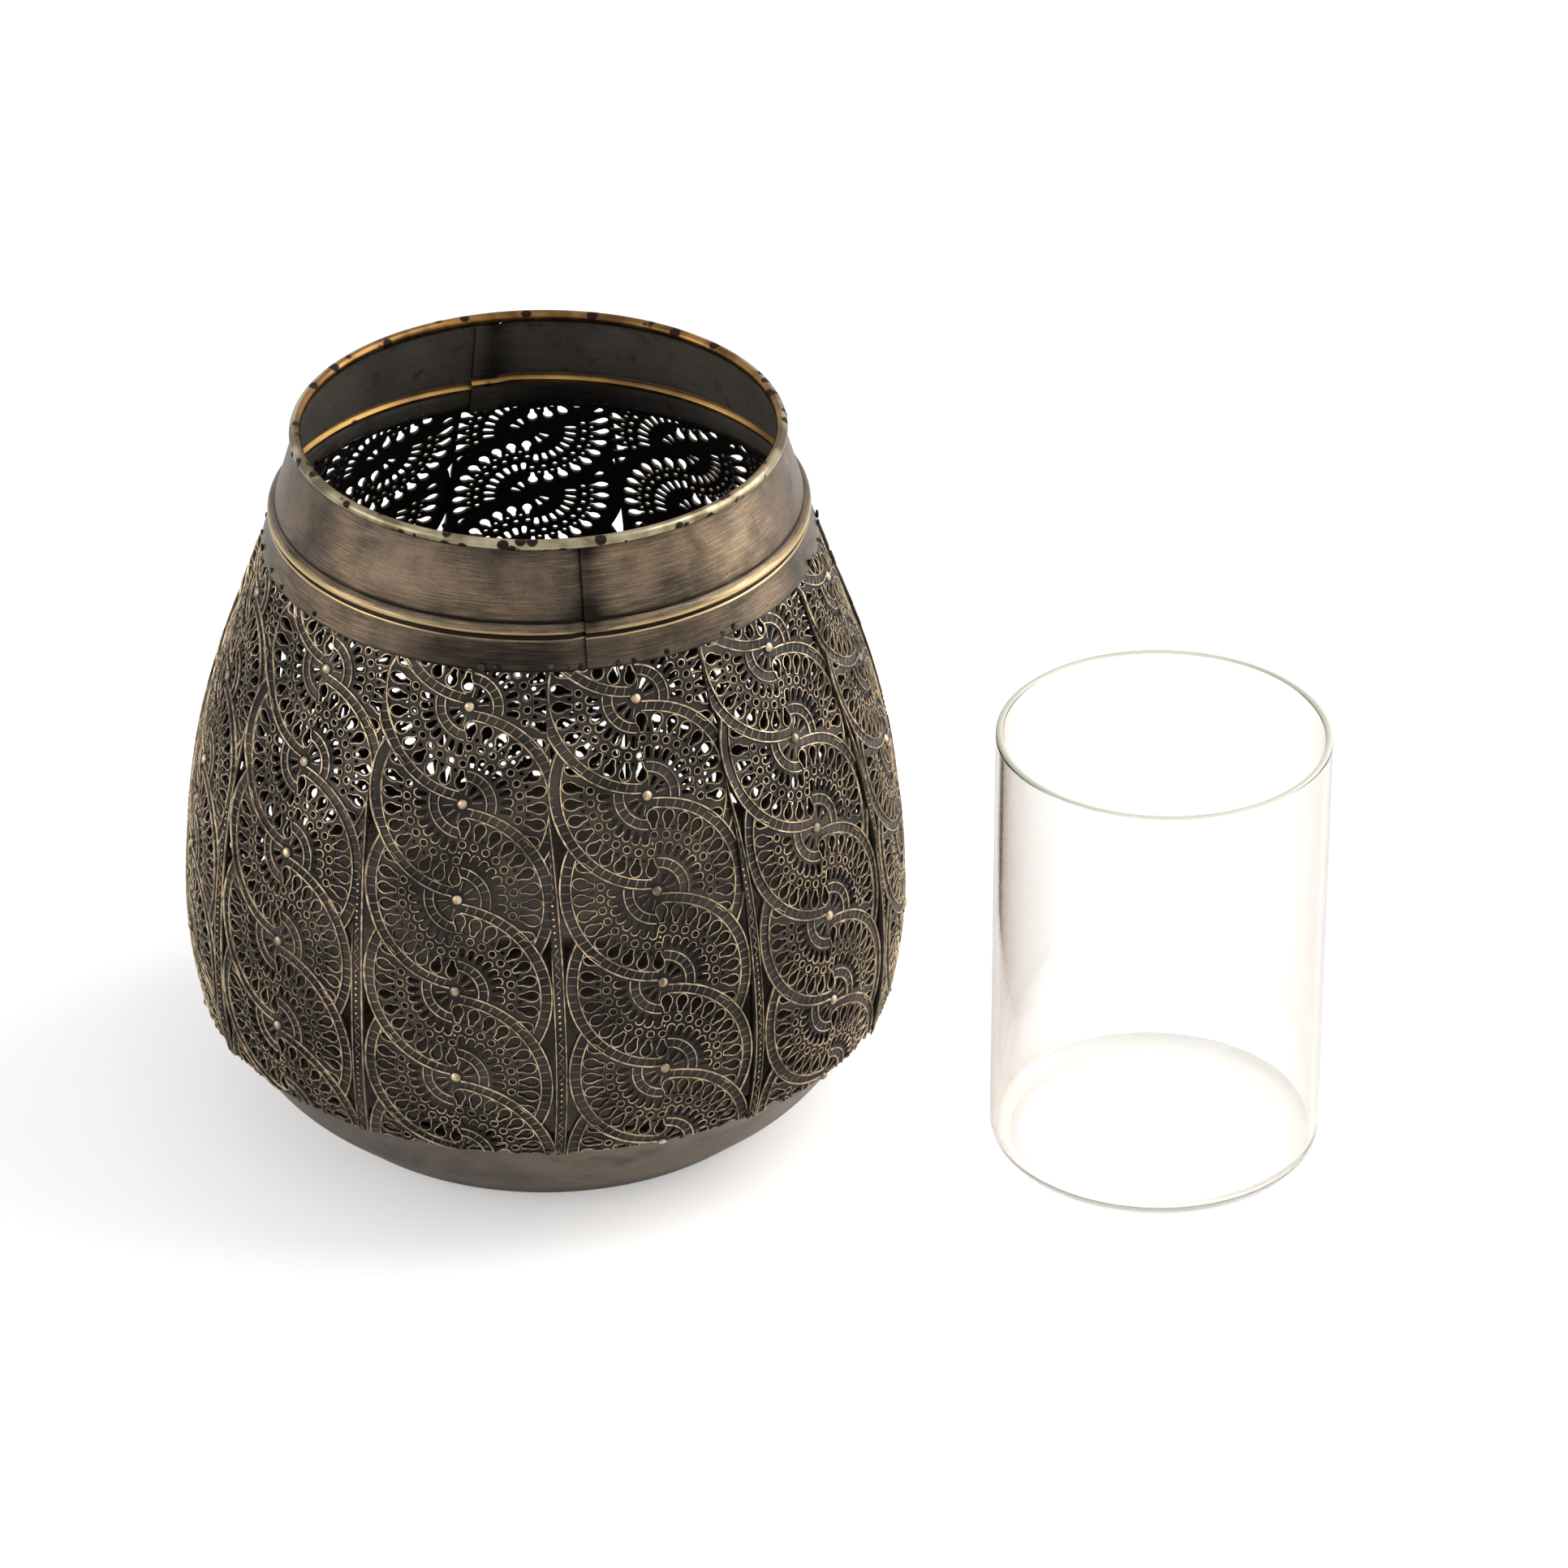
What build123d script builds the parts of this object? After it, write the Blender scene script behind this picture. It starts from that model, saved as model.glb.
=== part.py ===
"""Filigree tealight lantern with its loose glass cup.

The lantern is a spun pan, eleven pierced strips bent up from it side by side, a collar of two
half bands that laps over the strip tops, and a round wire soldered on the mouth.  The glass cup
is a separate piece that stands beside the lantern and can be set down inside it.

Frame: millimetres, +Z up, front towards -Y, origin at the middle of the lantern's underside.
Azimuths are in degrees, from the front (-Y) towards +X.
"""
import os
from math import atan2, cos, degrees, radians, sin, tan

from build123d import *

pieces = []

# ---- driving dimensions (mm, degrees) -------------------------------------------------
# pierced strips
strip_count = 11
strip_sheet = 0.6            # embossed brass strip
strip_gap = 0.4              # open seam between two strips
first_strip_azimuth = 19.3
belly_radius = 85.5          # outside of the strips at their widest
belly_height = 52.7
foot_tuck = 2.9              # how far their lower ends are drawn in from the belly
foot_height = 29.1
shoulder_angle = 19.5        # lean of the strips where they run in under the collar

# pattern pressed and pierced into each strip
row_pitch = 22.65            # from one boss to the next, along the strip
first_row_offset = 22.2      # from the foot of the strip to its lowest whole row
fan_windows = 2              # windows in each fan, two fans to a row
fan_inner_radius = 8.6       # point of each window, from the boss
fan_start_angle = -22.0      # first edge of a fan, measured at the boss
fan_sweep = 112.0            # from its first edge to its last
fan_rib_angle = 4.6          # solid rib between two windows
band_centre = (0.0, -0.6)    # centre of the arc that bounds a fan, from the boss
band_inner_radius = 19.6     # that arc, at the windows' outer ends
edge_bar = 2.2               # solid margin down both edges of a strip
smallest_window = 16.0       # windows that the margins trim under this area (mm2) stay closed

# collar and rim
collar_sheet = 0.8
collar_lower_radius = 64.9   # outside, at the lower edge
collar_lower_height = 147.1
collar_height = 26.9
collar_angle = 16.8
collar_lap = 4.0             # height of the strip tops hidden in the collar
bead_height = 9.4            # middle of the swaged bead, above the collar's lower edge
bead_width = 4.0
bead_rise = 1.2
seam_azimuth = 10.0          # front seam of the two half bands, the other is opposite
seam_gap = 0.4               # open line between the two bands
rim_wire_diameter = 2.7
rim_wire_sides = 6

# pan
pan_sheet = 0.8
pan_floor_radius = 56.0
pan_knee_radius = 69.6       # outside, where the spun wall changes its lean
pan_knee_height = 12.0
pan_rim_height = 34.0        # hidden behind the strips
floor_disc_radius = 51.0
floor_disc_sheet = 0.8

# glass cup
glass_diameter = 78.5
glass_height = 110.3
glass_wall = 1.75
glass_floor = 2.2
glass_outer_corner = 4.0
glass_corner_share = 0.25    # how far round its corner the one facet between floor and wall lies
glass_stand = (145.2, -28.4)  # where it stands beside the lantern

# fits
lap_clearance = 0.15         # between two lapped sheets, left for the solder

# ---- forms worked out from them ---------------------------------------------------------
shoulder_slope = tan(radians(shoulder_angle))
collar_top_height = collar_lower_height + collar_height

# the strips pass inside the collar's lower edge
shoulder_radius = collar_lower_radius - (collar_sheet + lap_clearance) / cos(radians(collar_angle))
strip_pitch_angle = 360 / strip_count
foot_radius = belly_radius - foot_tuck

# side view of a strip: an arc up to the belly, an arc on to the shoulder, and a straight shoulder
overshoot = shoulder_radius + shoulder_slope * (collar_lower_height - belly_height) - belly_radius
upper_arc_radius = overshoot / (1 / cos(radians(shoulder_angle)) - 1)
upper_arc_length = upper_arc_radius * radians(shoulder_angle)
lower_drop = belly_height - foot_height
lower_arc_radius = (lower_drop**2 + foot_tuck**2) / (2 * foot_tuck)
lower_arc_length = lower_arc_radius * atan2(lower_drop, lower_arc_radius - foot_tuck)
upper_arc_rise = upper_arc_radius * sin(radians(shoulder_angle))
shoulder_rise = collar_lower_height + collar_lap - belly_height - upper_arc_rise
shoulder_length = shoulder_rise / cos(radians(shoulder_angle))
strip_length = lower_arc_length + upper_arc_length + shoulder_length
pierced_length = strip_length - collar_lap / cos(radians(shoulder_angle))


def side_point(distance):
    """Radius and height of the strip's outside, at a distance along it from its foot."""
    beyond_belly = distance - lower_arc_length
    arc_radius = lower_arc_radius if beyond_belly < 0 else upper_arc_radius
    angle = min(beyond_belly, upper_arc_length) / arc_radius
    straight = max(beyond_belly - upper_arc_length, 0)
    return (
        belly_radius - arc_radius * (1 - cos(angle)) - straight * sin(radians(shoulder_angle)),
        belly_height + arc_radius * sin(angle) + straight * cos(radians(shoulder_angle)),
    )


# each strip is bent across at every row of its pattern, and runs straight between two rows
row_count = int((pierced_length - first_row_offset) / row_pitch) + 1
rows = [first_row_offset + index * row_pitch for index in range(row_count)]
strip_line = [side_point(distance) for distance in (0, *rows, strip_length)]


def lean(lower, upper):
    """Lean from upright, in degrees, of the run between two points of a side view."""
    return degrees(atan2(lower[0] - upper[0], upper[1] - lower[1]))


def side_plane(azimuth):
    """Upright plane through the axis: its x runs outwards at the azimuth, its y runs up."""
    a = radians(azimuth)
    return Plane(origin=(0, 0, 0), x_dir=(sin(a), -cos(a), 0), z_dir=(-cos(a), -sin(a), 0))


def row_plane(row):
    """Plane laid on a row of the strip at azimuth 0: x across it, y up along it, z outwards."""
    radius, height = side_point(row)
    tilt = radians(lean(side_point(row - row_pitch / 2), side_point(row + row_pitch / 2)))
    return Plane(origin=(0, -radius, height), x_dir=(1, 0, 0), z_dir=(0, -cos(tilt), sin(tilt)))


def band_reach(angle):
    """Distance from the boss to the arc that bounds a fan, in a direction given in degrees."""
    along = band_centre[0] * cos(radians(angle)) + band_centre[1] * sin(radians(angle))
    across = band_centre[0] * sin(radians(angle)) - band_centre[1] * cos(radians(angle))
    return along + (band_inner_radius**2 - across**2) ** 0.5


def fan_window(index, turn):
    """Corners of one wedge-shaped window of a fan, with the boss at the origin, and the fan turned."""
    share = fan_sweep / fan_windows
    first = fan_start_angle + index * share + fan_rib_angle / 2
    last = first + share - fan_rib_angle
    middle = (first + last) / 2
    reach_and_angle = [(fan_inner_radius, middle), (band_reach(first), first), (band_reach(last), last)]
    return [(r * cos(radians(a + turn)), r * sin(radians(a + turn))) for r, a in reach_and_angle]


# ---- pierced strip, the pattern that all of them repeat -----------------------------------
# each strip is creased down its middle, so the body is a polygon with two sides to a strip
seam_angle = strip_pitch_angle / 2 - degrees(strip_gap / 2 / belly_radius)
flank_angle = strip_pitch_angle / 4
flank_line = [(r * cos(radians(flank_angle)), z) for r, z in strip_line]
body_height = collar_top_height + rim_wire_diameter
cut_depth = belly_radius * (1 - cos(radians(seam_angle))) + 2 * strip_sheet


def half_width(distance):
    """Half the flat width of a strip that may be pierced, at a distance from its foot."""
    return side_point(distance)[0] * sin(radians(seam_angle)) - edge_bar


def pierced_outline(row):
    """Outline, around the boss of a row, in which the strip may be pierced."""
    lowest, highest = edge_bar, pierced_length - edge_bar
    levels = {min(max(level, lowest), highest) for level in (row - row_pitch, row, row + row_pitch)}
    right = [(half_width(level), level - row) for level in sorted(levels)]
    left = [(-x, y) for x, y in reversed(right)]
    return right + left


with BuildPart() as strip:
    with BuildSketch(side_plane(flank_angle)):
        with BuildLine():
            Polyline(*flank_line)
            offset(amount=strip_sheet, side=Side.LEFT, kind=Kind.INTERSECTION)
        make_face()
    extrude(amount=belly_radius * sin(radians(seam_angle)), both=True)
    with BuildSketch():
        with BuildLine():
            far = 2 * belly_radius
            seam = radians(seam_angle)
            Polyline((0, 0), (0, -far), (far * sin(seam), -far * cos(seam)), close=True)
        make_face()
    extrude(amount=body_height, mode=Mode.INTERSECT)
    mirror(about=Plane.YZ)
    for row in (first_row_offset - row_pitch, *rows):
        with BuildSketch(row_plane(row)) as windows:
            for turn in (0, 180):
                for window in range(fan_windows):
                    with BuildLine():
                        Polyline(*fan_window(window, turn), close=True)
                    make_face()
            with BuildLine():
                Polyline(*pierced_outline(row), close=True)
            make_face(mode=Mode.INTERSECT)
        openings = [window for window in windows.sketch.faces() if window.area > smallest_window]
        extrude(openings, amount=cut_depth, both=True, mode=Mode.SUBTRACT)

for index in range(strip_count):
    piece = strip.part.rotate(Axis.Z, first_strip_azimuth + index * strip_pitch_angle)
    piece.label = f"filigree_strip_{index + 1:02d}"
    pieces.append(piece)

# ---- collar of two half bands ---------------------------------------------------------------
collar_lean = radians(collar_angle)


def collar_point(rise, proud=0.0):
    """Point of the collar's outside, a rise above its lower edge along the sheet, stood proud of it."""
    return (
        collar_lower_radius - rise * sin(collar_lean) + proud * cos(collar_lean),
        collar_lower_height + rise * cos(collar_lean) + proud * sin(collar_lean),
    )


collar_length = collar_height / cos(collar_lean)
bead_line = [
    collar_point(bead_height - bead_width / 2),
    collar_point(bead_height, bead_rise),
    collar_point(bead_height + bead_width / 2),
]
collar_line = [collar_point(0), *bead_line, collar_point(collar_length)]
band_sweep = 180 - degrees(seam_gap / collar_lower_radius)

for index, name in enumerate(("collar_band_right", "collar_band_left")):
    start = seam_azimuth + 180 * index
    with BuildPart() as band:
        with BuildSketch(side_plane(start)):
            with BuildLine():
                Polyline(*collar_line)
                offset(amount=collar_sheet, side=Side.LEFT, kind=Kind.INTERSECTION)
            make_face()
        revolve(axis=Axis.Z, revolution_arc=band_sweep)
    band.part.label = name
    pieces.append(band.part)

# ---- wire soldered on the mouth ---------------------------------------------------------------
mouth_radius, mouth_height = collar_point(collar_length)
mouth_middle = mouth_radius - collar_sheet / 2 * cos(collar_lean)
rim_wire_radius = rim_wire_diameter / 2
lowest_flat = -90 - 180 / rim_wire_sides  # turns one flat of the wire down onto the collar
with BuildPart() as rim_wire:
    with BuildSketch(Plane.XZ):
        with Locations((mouth_middle, mouth_height + rim_wire_radius)):
            RegularPolygon(rim_wire_radius, rim_wire_sides, major_radius=False, rotation=lowest_flat)
    revolve(axis=Axis.Z)
rim_wire.part.label = "rim_wire"
pieces.append(rim_wire.part)

# ---- pan and its floor disc -------------------------------------------------------------------
foot_lean = lean(strip_line[0], strip_line[1])
pan_inset = (strip_sheet + lap_clearance) / cos(radians(foot_lean))


def pan_radius_behind_strips(height):
    """Outside radius of the pan where it lies behind the flats of the strips."""
    strip_radius = foot_radius - (height - foot_height) * tan(radians(foot_lean))
    return strip_radius * cos(radians(flank_angle)) - pan_inset


with BuildPart() as base_pan:
    with BuildSketch(Plane.XZ):
        with BuildLine():
            Polyline(
                (0, 0),
                (pan_floor_radius, 0),
                (pan_knee_radius, pan_knee_height),
                (pan_radius_behind_strips(foot_height), foot_height),
                (pan_radius_behind_strips(pan_rim_height), pan_rim_height),
            )
            offset(amount=pan_sheet, side=Side.LEFT, kind=Kind.INTERSECTION)
        make_face()
    revolve(axis=Axis.Z)
base_pan.part.label = "base_pan"
pieces.append(base_pan.part)

with BuildPart(Plane.XY.offset(pan_sheet)) as floor_disc:
    Cylinder(floor_disc_radius, floor_disc_sheet, align=(Align.CENTER, Align.CENTER, Align.MIN))
floor_disc.part.label = "floor_disc"
pieces.append(floor_disc.part)

# ---- glass cup -----------------------------------------------------------------------------------
glass_radius = glass_diameter / 2
glass_bore = glass_radius - glass_wall
glass_corner_facet = glass_corner_share * glass_outer_corner

with BuildPart() as glass_cup:
    with BuildSketch(Plane(origin=(*glass_stand, 0), x_dir=(1, 0, 0), z_dir=(0, -1, 0))):
        with BuildLine():
            Polyline(
                (0, 0),
                (glass_radius - glass_outer_corner, 0),
                (glass_radius - glass_corner_facet, glass_corner_facet),
                (glass_radius, glass_outer_corner),
                (glass_radius, glass_height),
                (glass_bore, glass_height),
                (glass_bore, glass_floor),
                (0, glass_floor),
                close=True,
            )
        make_face()
    revolve(axis=Axis(origin=(*glass_stand, 0), direction=(0, 0, 1)))
glass_cup.part.label = "glass_cup"
pieces.append(glass_cup.part)

# ---- files --------------------------------------------------------------------------------------------
os.makedirs("parts", exist_ok=True)
for piece in pieces:
    export_step(piece, f"parts/{piece.label}.step")
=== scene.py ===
"""Filigree tealight lantern with its loose glass cup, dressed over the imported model.

Sizes are in millimetres until a mesh is written in metres.  Azimuths are in degrees, from the
front (-Y) towards +X.  On a flat strip, u runs across it, v up along it and h out of it.
"""
from __future__ import annotations

import logging
import math
from dataclasses import dataclass, field
from enum import Enum
from functools import partial

import bmesh
import bpy
import numpy as np
from mathutils import Euler, Matrix, Vector
from mathutils.geometry import delaunay_2d_cdt

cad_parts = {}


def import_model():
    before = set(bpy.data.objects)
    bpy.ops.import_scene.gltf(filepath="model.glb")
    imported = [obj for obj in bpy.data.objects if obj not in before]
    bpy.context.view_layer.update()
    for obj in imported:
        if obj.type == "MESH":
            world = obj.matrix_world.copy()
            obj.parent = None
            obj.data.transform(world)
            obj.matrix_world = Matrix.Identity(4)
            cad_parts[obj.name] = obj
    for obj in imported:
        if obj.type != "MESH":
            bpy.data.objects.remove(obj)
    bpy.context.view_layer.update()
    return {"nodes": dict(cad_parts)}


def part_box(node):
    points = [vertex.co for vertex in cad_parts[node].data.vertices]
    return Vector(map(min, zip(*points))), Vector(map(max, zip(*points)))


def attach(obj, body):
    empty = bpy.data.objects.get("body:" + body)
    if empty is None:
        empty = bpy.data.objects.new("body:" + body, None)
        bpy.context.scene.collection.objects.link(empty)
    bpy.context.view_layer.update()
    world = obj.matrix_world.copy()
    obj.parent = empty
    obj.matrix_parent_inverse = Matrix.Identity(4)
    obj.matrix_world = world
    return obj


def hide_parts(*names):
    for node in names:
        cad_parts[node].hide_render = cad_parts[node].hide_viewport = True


log = logging.getLogger("tealight_holder")
MM = 0.001
GLASS_IOR = 1.474
SAME_POINT = 1e-5
NOISE, BUMP, MIX = "ShaderNodeTexNoise", "ShaderNodeBump", "ShaderNodeMix"
RANGE, MATHS = "ShaderNodeMapRange", "ShaderNodeMath"
Flat = tuple[float, float]
Spot = tuple[float, float, float]


class Body(Enum):
    """Bodies of the part that pieces ride on."""

    LANTERN = "lantern"
    GLASS = "glass"


class Slot(Enum):
    """Material slots of the record."""

    PAN = "pan_brass"
    STRIP = "strip_brass"
    COLLAR = "collar_brass"
    GLASS = "glass"


# ---- small tools ---------------------------------------------------------------------------


def linear(colour: str) -> tuple[float, float, float, float]:
    """Turn an sRGB hex colour into the linear colour that shaders take.

    Args:
        colour: six hex digits, such as "c8a878".

    Returns:
        Red, green, blue and an alpha of 1.
    """
    parts = [int(colour[i : i + 2], 16) / 255 for i in (0, 2, 4)]
    r, g, b = (p / 12.92 if p <= 0.04045 else ((p + 0.055) / 1.055) ** 2.4 for p in parts)
    return r, g, b, 1.0


def feed(tree: bpy.types.NodeTree, node: bpy.types.Node, inputs: dict) -> None:
    """Set or link the inputs of a node.

    Args:
        tree: the tree that the node is in.
        node: the node.
        inputs: what each input gets, by name or place: a value, an sRGB hex colour, an output
            socket, a node that gives its first output in use, or a list of these to link.
    """
    for key, given in inputs.items():
        socket = node.inputs[key]
        for source in given if isinstance(given, list) else [given]:
            if isinstance(source, bpy.types.Node):
                source = next(output for output in source.outputs if output.enabled)
            if isinstance(source, bpy.types.NodeSocket):
                tree.links.new(source, socket)
            elif isinstance(source, str) and socket.type == "RGBA":
                socket.default_value = linear(source)
            else:
                socket.default_value = source


def add_node(
    tree: bpy.types.NodeTree, kind: str, inputs: dict | None = None, **settings: object
) -> bpy.types.Node:
    """Add one node to a tree with its settings and what feeds it.

    Args:
        tree: the tree that gets the node.
        kind: the node's type.
        inputs: what each input gets, as feed takes it.
        settings: properties of the node, by name.

    Returns:
        The new node.
    """
    node = tree.nodes.new(kind)
    for name, value in settings.items():
        setattr(node, name, value)
    feed(tree, node, inputs or {})
    return node


def start_finish(name: str) -> tuple[bpy.types.Material, bpy.types.NodeTree, bpy.types.Node]:
    """Start the material of a finish.

    Args:
        name: name of the material.

    Returns:
        The material, its tree, and the shader in the tree.
    """
    material = bpy.data.materials.new(name)
    material.use_nodes = True
    return material, material.node_tree, material.node_tree.nodes["Principled BSDF"]


def polar(angle: float, radius: float) -> Flat:
    """Point at an angle in degrees and a radius from a boss."""
    return radius * math.cos(math.radians(angle)), radius * math.sin(math.radians(angle))


def turn_points(points: list[Flat], angle: float) -> list[Flat]:
    """Turn points about the origin.

    Args:
        points: the points.
        angle: how far, in degrees.

    Returns:
        The turned points.
    """
    a = math.radians(angle)
    return [(x * math.cos(a) - y * math.sin(a), x * math.sin(a) + y * math.cos(a)) for x, y in points]


def arc(radius: float, start: float, stop: float, step: float, centre: Flat = (0.0, 0.0)) -> list[Flat]:
    """Lay points along an arc.

    Args:
        radius: its radius.
        start: angle of its first point, in degrees.
        stop: angle of its last point, in degrees.
        step: angle between two points, in degrees, rounded so that whole steps fit.
        centre: its centre.

    Returns:
        The points.
    """
    steps = max(1, round(abs(stop - start) / step))
    points = [polar(start + (stop - start) * k / steps, radius) for k in range(steps + 1)]
    return [(centre[0] + x, centre[1] + y) for x, y in points]


def finish_object(name: str, mesh: bpy.types.Mesh, sharp_angle: float) -> bpy.types.Object:
    """Put a mesh in the scene as an object at the origin, shaded smooth but for its sharp edges.

    Args:
        name: name of the object.
        mesh: its mesh, in metres and in place.
        sharp_angle: angle between two faces, in degrees, past which their edge stays sharp.

    Returns:
        The object.
    """
    mesh.name = name
    mesh.shade_smooth()
    mesh.set_sharp_from_angle(angle=math.radians(sharp_angle))
    piece = bpy.data.objects.new(name, mesh)
    bpy.context.collection.objects.link(piece)
    return piece


# ---- finishes --------------------------------------------------------------------------------


@dataclass(frozen=True)
class BlackenedStrip:
    """Pressed and pierced brass strip, blackened in a bath and rubbed back by hand.

    To the eye the sheet is a matt slate brown, and thin pale gold lines run along the pressed
    crests, strong where the rubbing was hard and all but lost where it was light.
    """

    name: str = "brass_strip_blackened_and_rubbed"
    hollow: str = "2f2d2c"
    cloud: str = "4f4841"
    crest: str = "e9cfab"
    back: str = "302e2c"
    cloud_size: float = 14.0
    rub_size: float = 10.0
    wear_size: float = 1.8
    grit: float = 0.35

    def material(self) -> bpy.types.Material:
        """Build the material from its colours and sizes."""
        material, tree, shader = start_finish(self.name)
        add = partial(add_node, tree)
        place = add("ShaderNodeTexCoord").outputs["Object"]
        relief = add("ShaderNodeAttribute", attribute_name="relief").outputs["Fac"]
        # the bath left clouds of brown in the slate of the sheet
        cloud = add(NOISE, {"Vector": place, "Scale": 1 / (self.cloud_size * MM), "Detail": 4.0})
        clouded = add(RANGE, {"Value": cloud, "From Min": 0.4, "From Max": 0.68})
        sheet = add(MIX, {0: clouded, 6: self.hollow, 7: self.cloud}, data_type="RGBA")
        # a stroke of rubbing reaches about a centimetre, and grazes the crests unevenly
        strokes = add(NOISE, {"Vector": place, "Scale": 1 / (self.rub_size * MM), "Detail": 2.0})
        stroked = add(RANGE, {"Value": strokes, "From Min": 0.36, "From Max": 0.6, "To Min": 0.42})
        wear = add(NOISE, {"Vector": place, "Scale": 1 / (self.wear_size * MM), "Detail": 2.0})
        worn = add(RANGE, {"Value": wear, "From Min": 0.36, "From Max": 0.6, "To Min": 0.3})
        height = add(RANGE, {"Value": relief, "From Min": 0.36, "From Max": 0.95})
        grazed = add(MATHS, {0: worn, 1: height}, operation="MULTIPLY")
        rubbed = add(MATHS, {0: grazed, 1: stroked}, operation="MULTIPLY")
        front = add(MIX, {0: rubbed, 6: sheet, 7: self.crest}, data_type="RGBA")
        behind = add(RANGE, {"Value": relief, "From Min": -0.9, "From Max": -0.1})
        both = add(MIX, {0: behind, 6: self.back, 7: front}, data_type="RGBA")
        rough = add(RANGE, {"Value": rubbed, "To Min": 0.5, "To Max": 0.32})
        grit = add(NOISE, {"Vector": place, "Scale": 1 / (self.grit * MM), "Detail": 2.0})
        bump = add(BUMP, {"Height": grit, "Strength": 0.35, "Distance": 0.1 * MM})
        feed(tree, shader, {"Base Color": both, "Roughness": rough, "Normal": bump, "Metallic": 1.0})
        return material


@dataclass(frozen=True)
class BrushedAgedBrass:
    """Brass sheet, browned and then brushed by hand.

    To the eye it is brown with cloudy patches and a few darker stains, and long fine streaks of
    the brush catch the light.  Ridges are rubbed to the metal and grooves stay nearly black, as
    the "rub" attribute of the piece says: 0 in a groove, 0.5 on plain sheet and 1 on a ridge.
    The streaks follow the piece's own UV map, which is laid out in metres along the sheet.
    """

    name: str
    dark: str
    light: str
    streak: str
    gold: str
    ridge: str = "e2c48a"
    groove: str = "231f1c"
    stain: str = "3d3632"
    stain_size: float = 13.0
    stain_share: float = 0.34
    streak_length: float = 13.0
    streak_width: float = 0.42
    slant: float = 9.0
    patch: float = 12.0
    grain: float = 0.55
    roughness: tuple[float, float] = (0.3, 0.46)
    ridge_roughness: float = 0.24
    metallic: float = 1.0

    def material(self) -> bpy.types.Material:
        """Build the material from its colours and sizes."""
        material, tree, shader = start_finish(self.name)
        add = partial(add_node, tree)
        coordinates = add("ShaderNodeTexCoord")
        rub = add("ShaderNodeAttribute", attribute_name="rub").outputs["Fac"]
        turned = {
            "Vector": coordinates.outputs["UV"],
            "Rotation": (0.0, 0.0, math.radians(self.slant)),
            "Scale": (1 / (self.streak_length * MM), 1 / (self.streak_width * MM), 1.0),
        }
        along = add("ShaderNodeMapping", turned)
        streaks = add(NOISE, {"Vector": along, "Scale": 1.0, "Detail": 4.0, "Roughness": 0.6})
        place = coordinates.outputs["Object"]
        # brown in cloudy patches, with the brush's streaks over them
        patches = add(NOISE, {"Vector": place, "Scale": 1 / (self.patch * MM), "Detail": 3.0})
        patched = add(RANGE, {"Value": patches, "From Min": 0.36, "From Max": 0.64})
        base = add(MIX, {0: patched, 6: self.dark, 7: self.light}, data_type="RGBA")
        # here and there the brown is thin and the brass shows through
        thin = add(NOISE, {"Vector": place, "Scale": 1 / (2.2 * self.patch * MM), "Detail": 4.0})
        thinned = add(RANGE, {"Value": thin, "From Min": 0.48, "From Max": 0.66, "To Max": 0.75})
        metal = add(MIX, {0: thinned, 6: base, 7: self.gold}, data_type="RGBA")
        # the brush pressed hard in some places and hardly touched others
        pressed = add(
            RANGE, {"Value": thin, "From Min": 0.4, "From Max": 0.62, "To Min": 0.12, "To Max": 0.75}
        )
        streaked = add(RANGE, {"Value": streaks, "From Min": 0.44, "From Max": 0.78, "To Max": pressed})
        streaky = add(MIX, {0: streaked, 6: metal, 7: self.streak}, data_type="RGBA")
        # a grain of half a millimetre, coarser than the real one so that it shows
        grain = add(NOISE, {"Vector": place, "Scale": 1 / (self.grain * MM), "Detail": 2.0})
        grained = add(
            RANGE, {"Value": grain, "From Min": 0.3, "From Max": 0.7, "To Min": 0.76, "To Max": 1.0}
        )
        brushed = add(MIX, {0: 1.0, 6: streaky, 7: grained}, data_type="RGBA", blend_type="MULTIPLY")
        # stains that the brush left
        stains = add(
            NOISE, {"Vector": place, "Scale": 1 / (self.stain_size * MM), "Detail": 5.0, "Distortion": 0.2}
        )
        edge = 0.5 + 0.4 * (0.5 - self.stain_share)
        stained = add(RANGE, {"Value": stains, "From Min": edge, "From Max": edge + 0.14, "To Max": 0.62})
        soiled = add(MIX, {0: stained, 6: brushed, 7: self.stain}, data_type="RGBA")
        # ridges rubbed to the metal, grooves left black, both a little unevenly
        uneven = add(MATHS, {0: streaks, 1: 0.3, 2: rub}, operation="MULTIPLY_ADD")
        polished = add(RANGE, {"Value": uneven, "From Min": 0.75, "From Max": 1.15})
        shone = add(MIX, {0: polished, 6: soiled, 7: self.ridge}, data_type="RGBA")
        sunk = add(RANGE, {"Value": uneven, "From Min": 0.2, "From Max": 0.6})
        colour = add(MIX, {0: sunk, 6: self.groove, 7: shone}, data_type="RGBA")
        rough = add(RANGE, {"Value": patches, "To Min": self.roughness[0], "To Max": self.roughness[1]})
        smoothed = add(RANGE, {"Value": polished, "To Min": rough, "To Max": self.ridge_roughness})
        bump = add(BUMP, {"Height": streaks, "Strength": 0.3, "Distance": 0.06 * MM})
        feed(tree, shader, {"Base Color": colour, "Roughness": smoothed, "Normal": bump})
        feed(tree, shader, {"Metallic": self.metallic})
        return material


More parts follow.
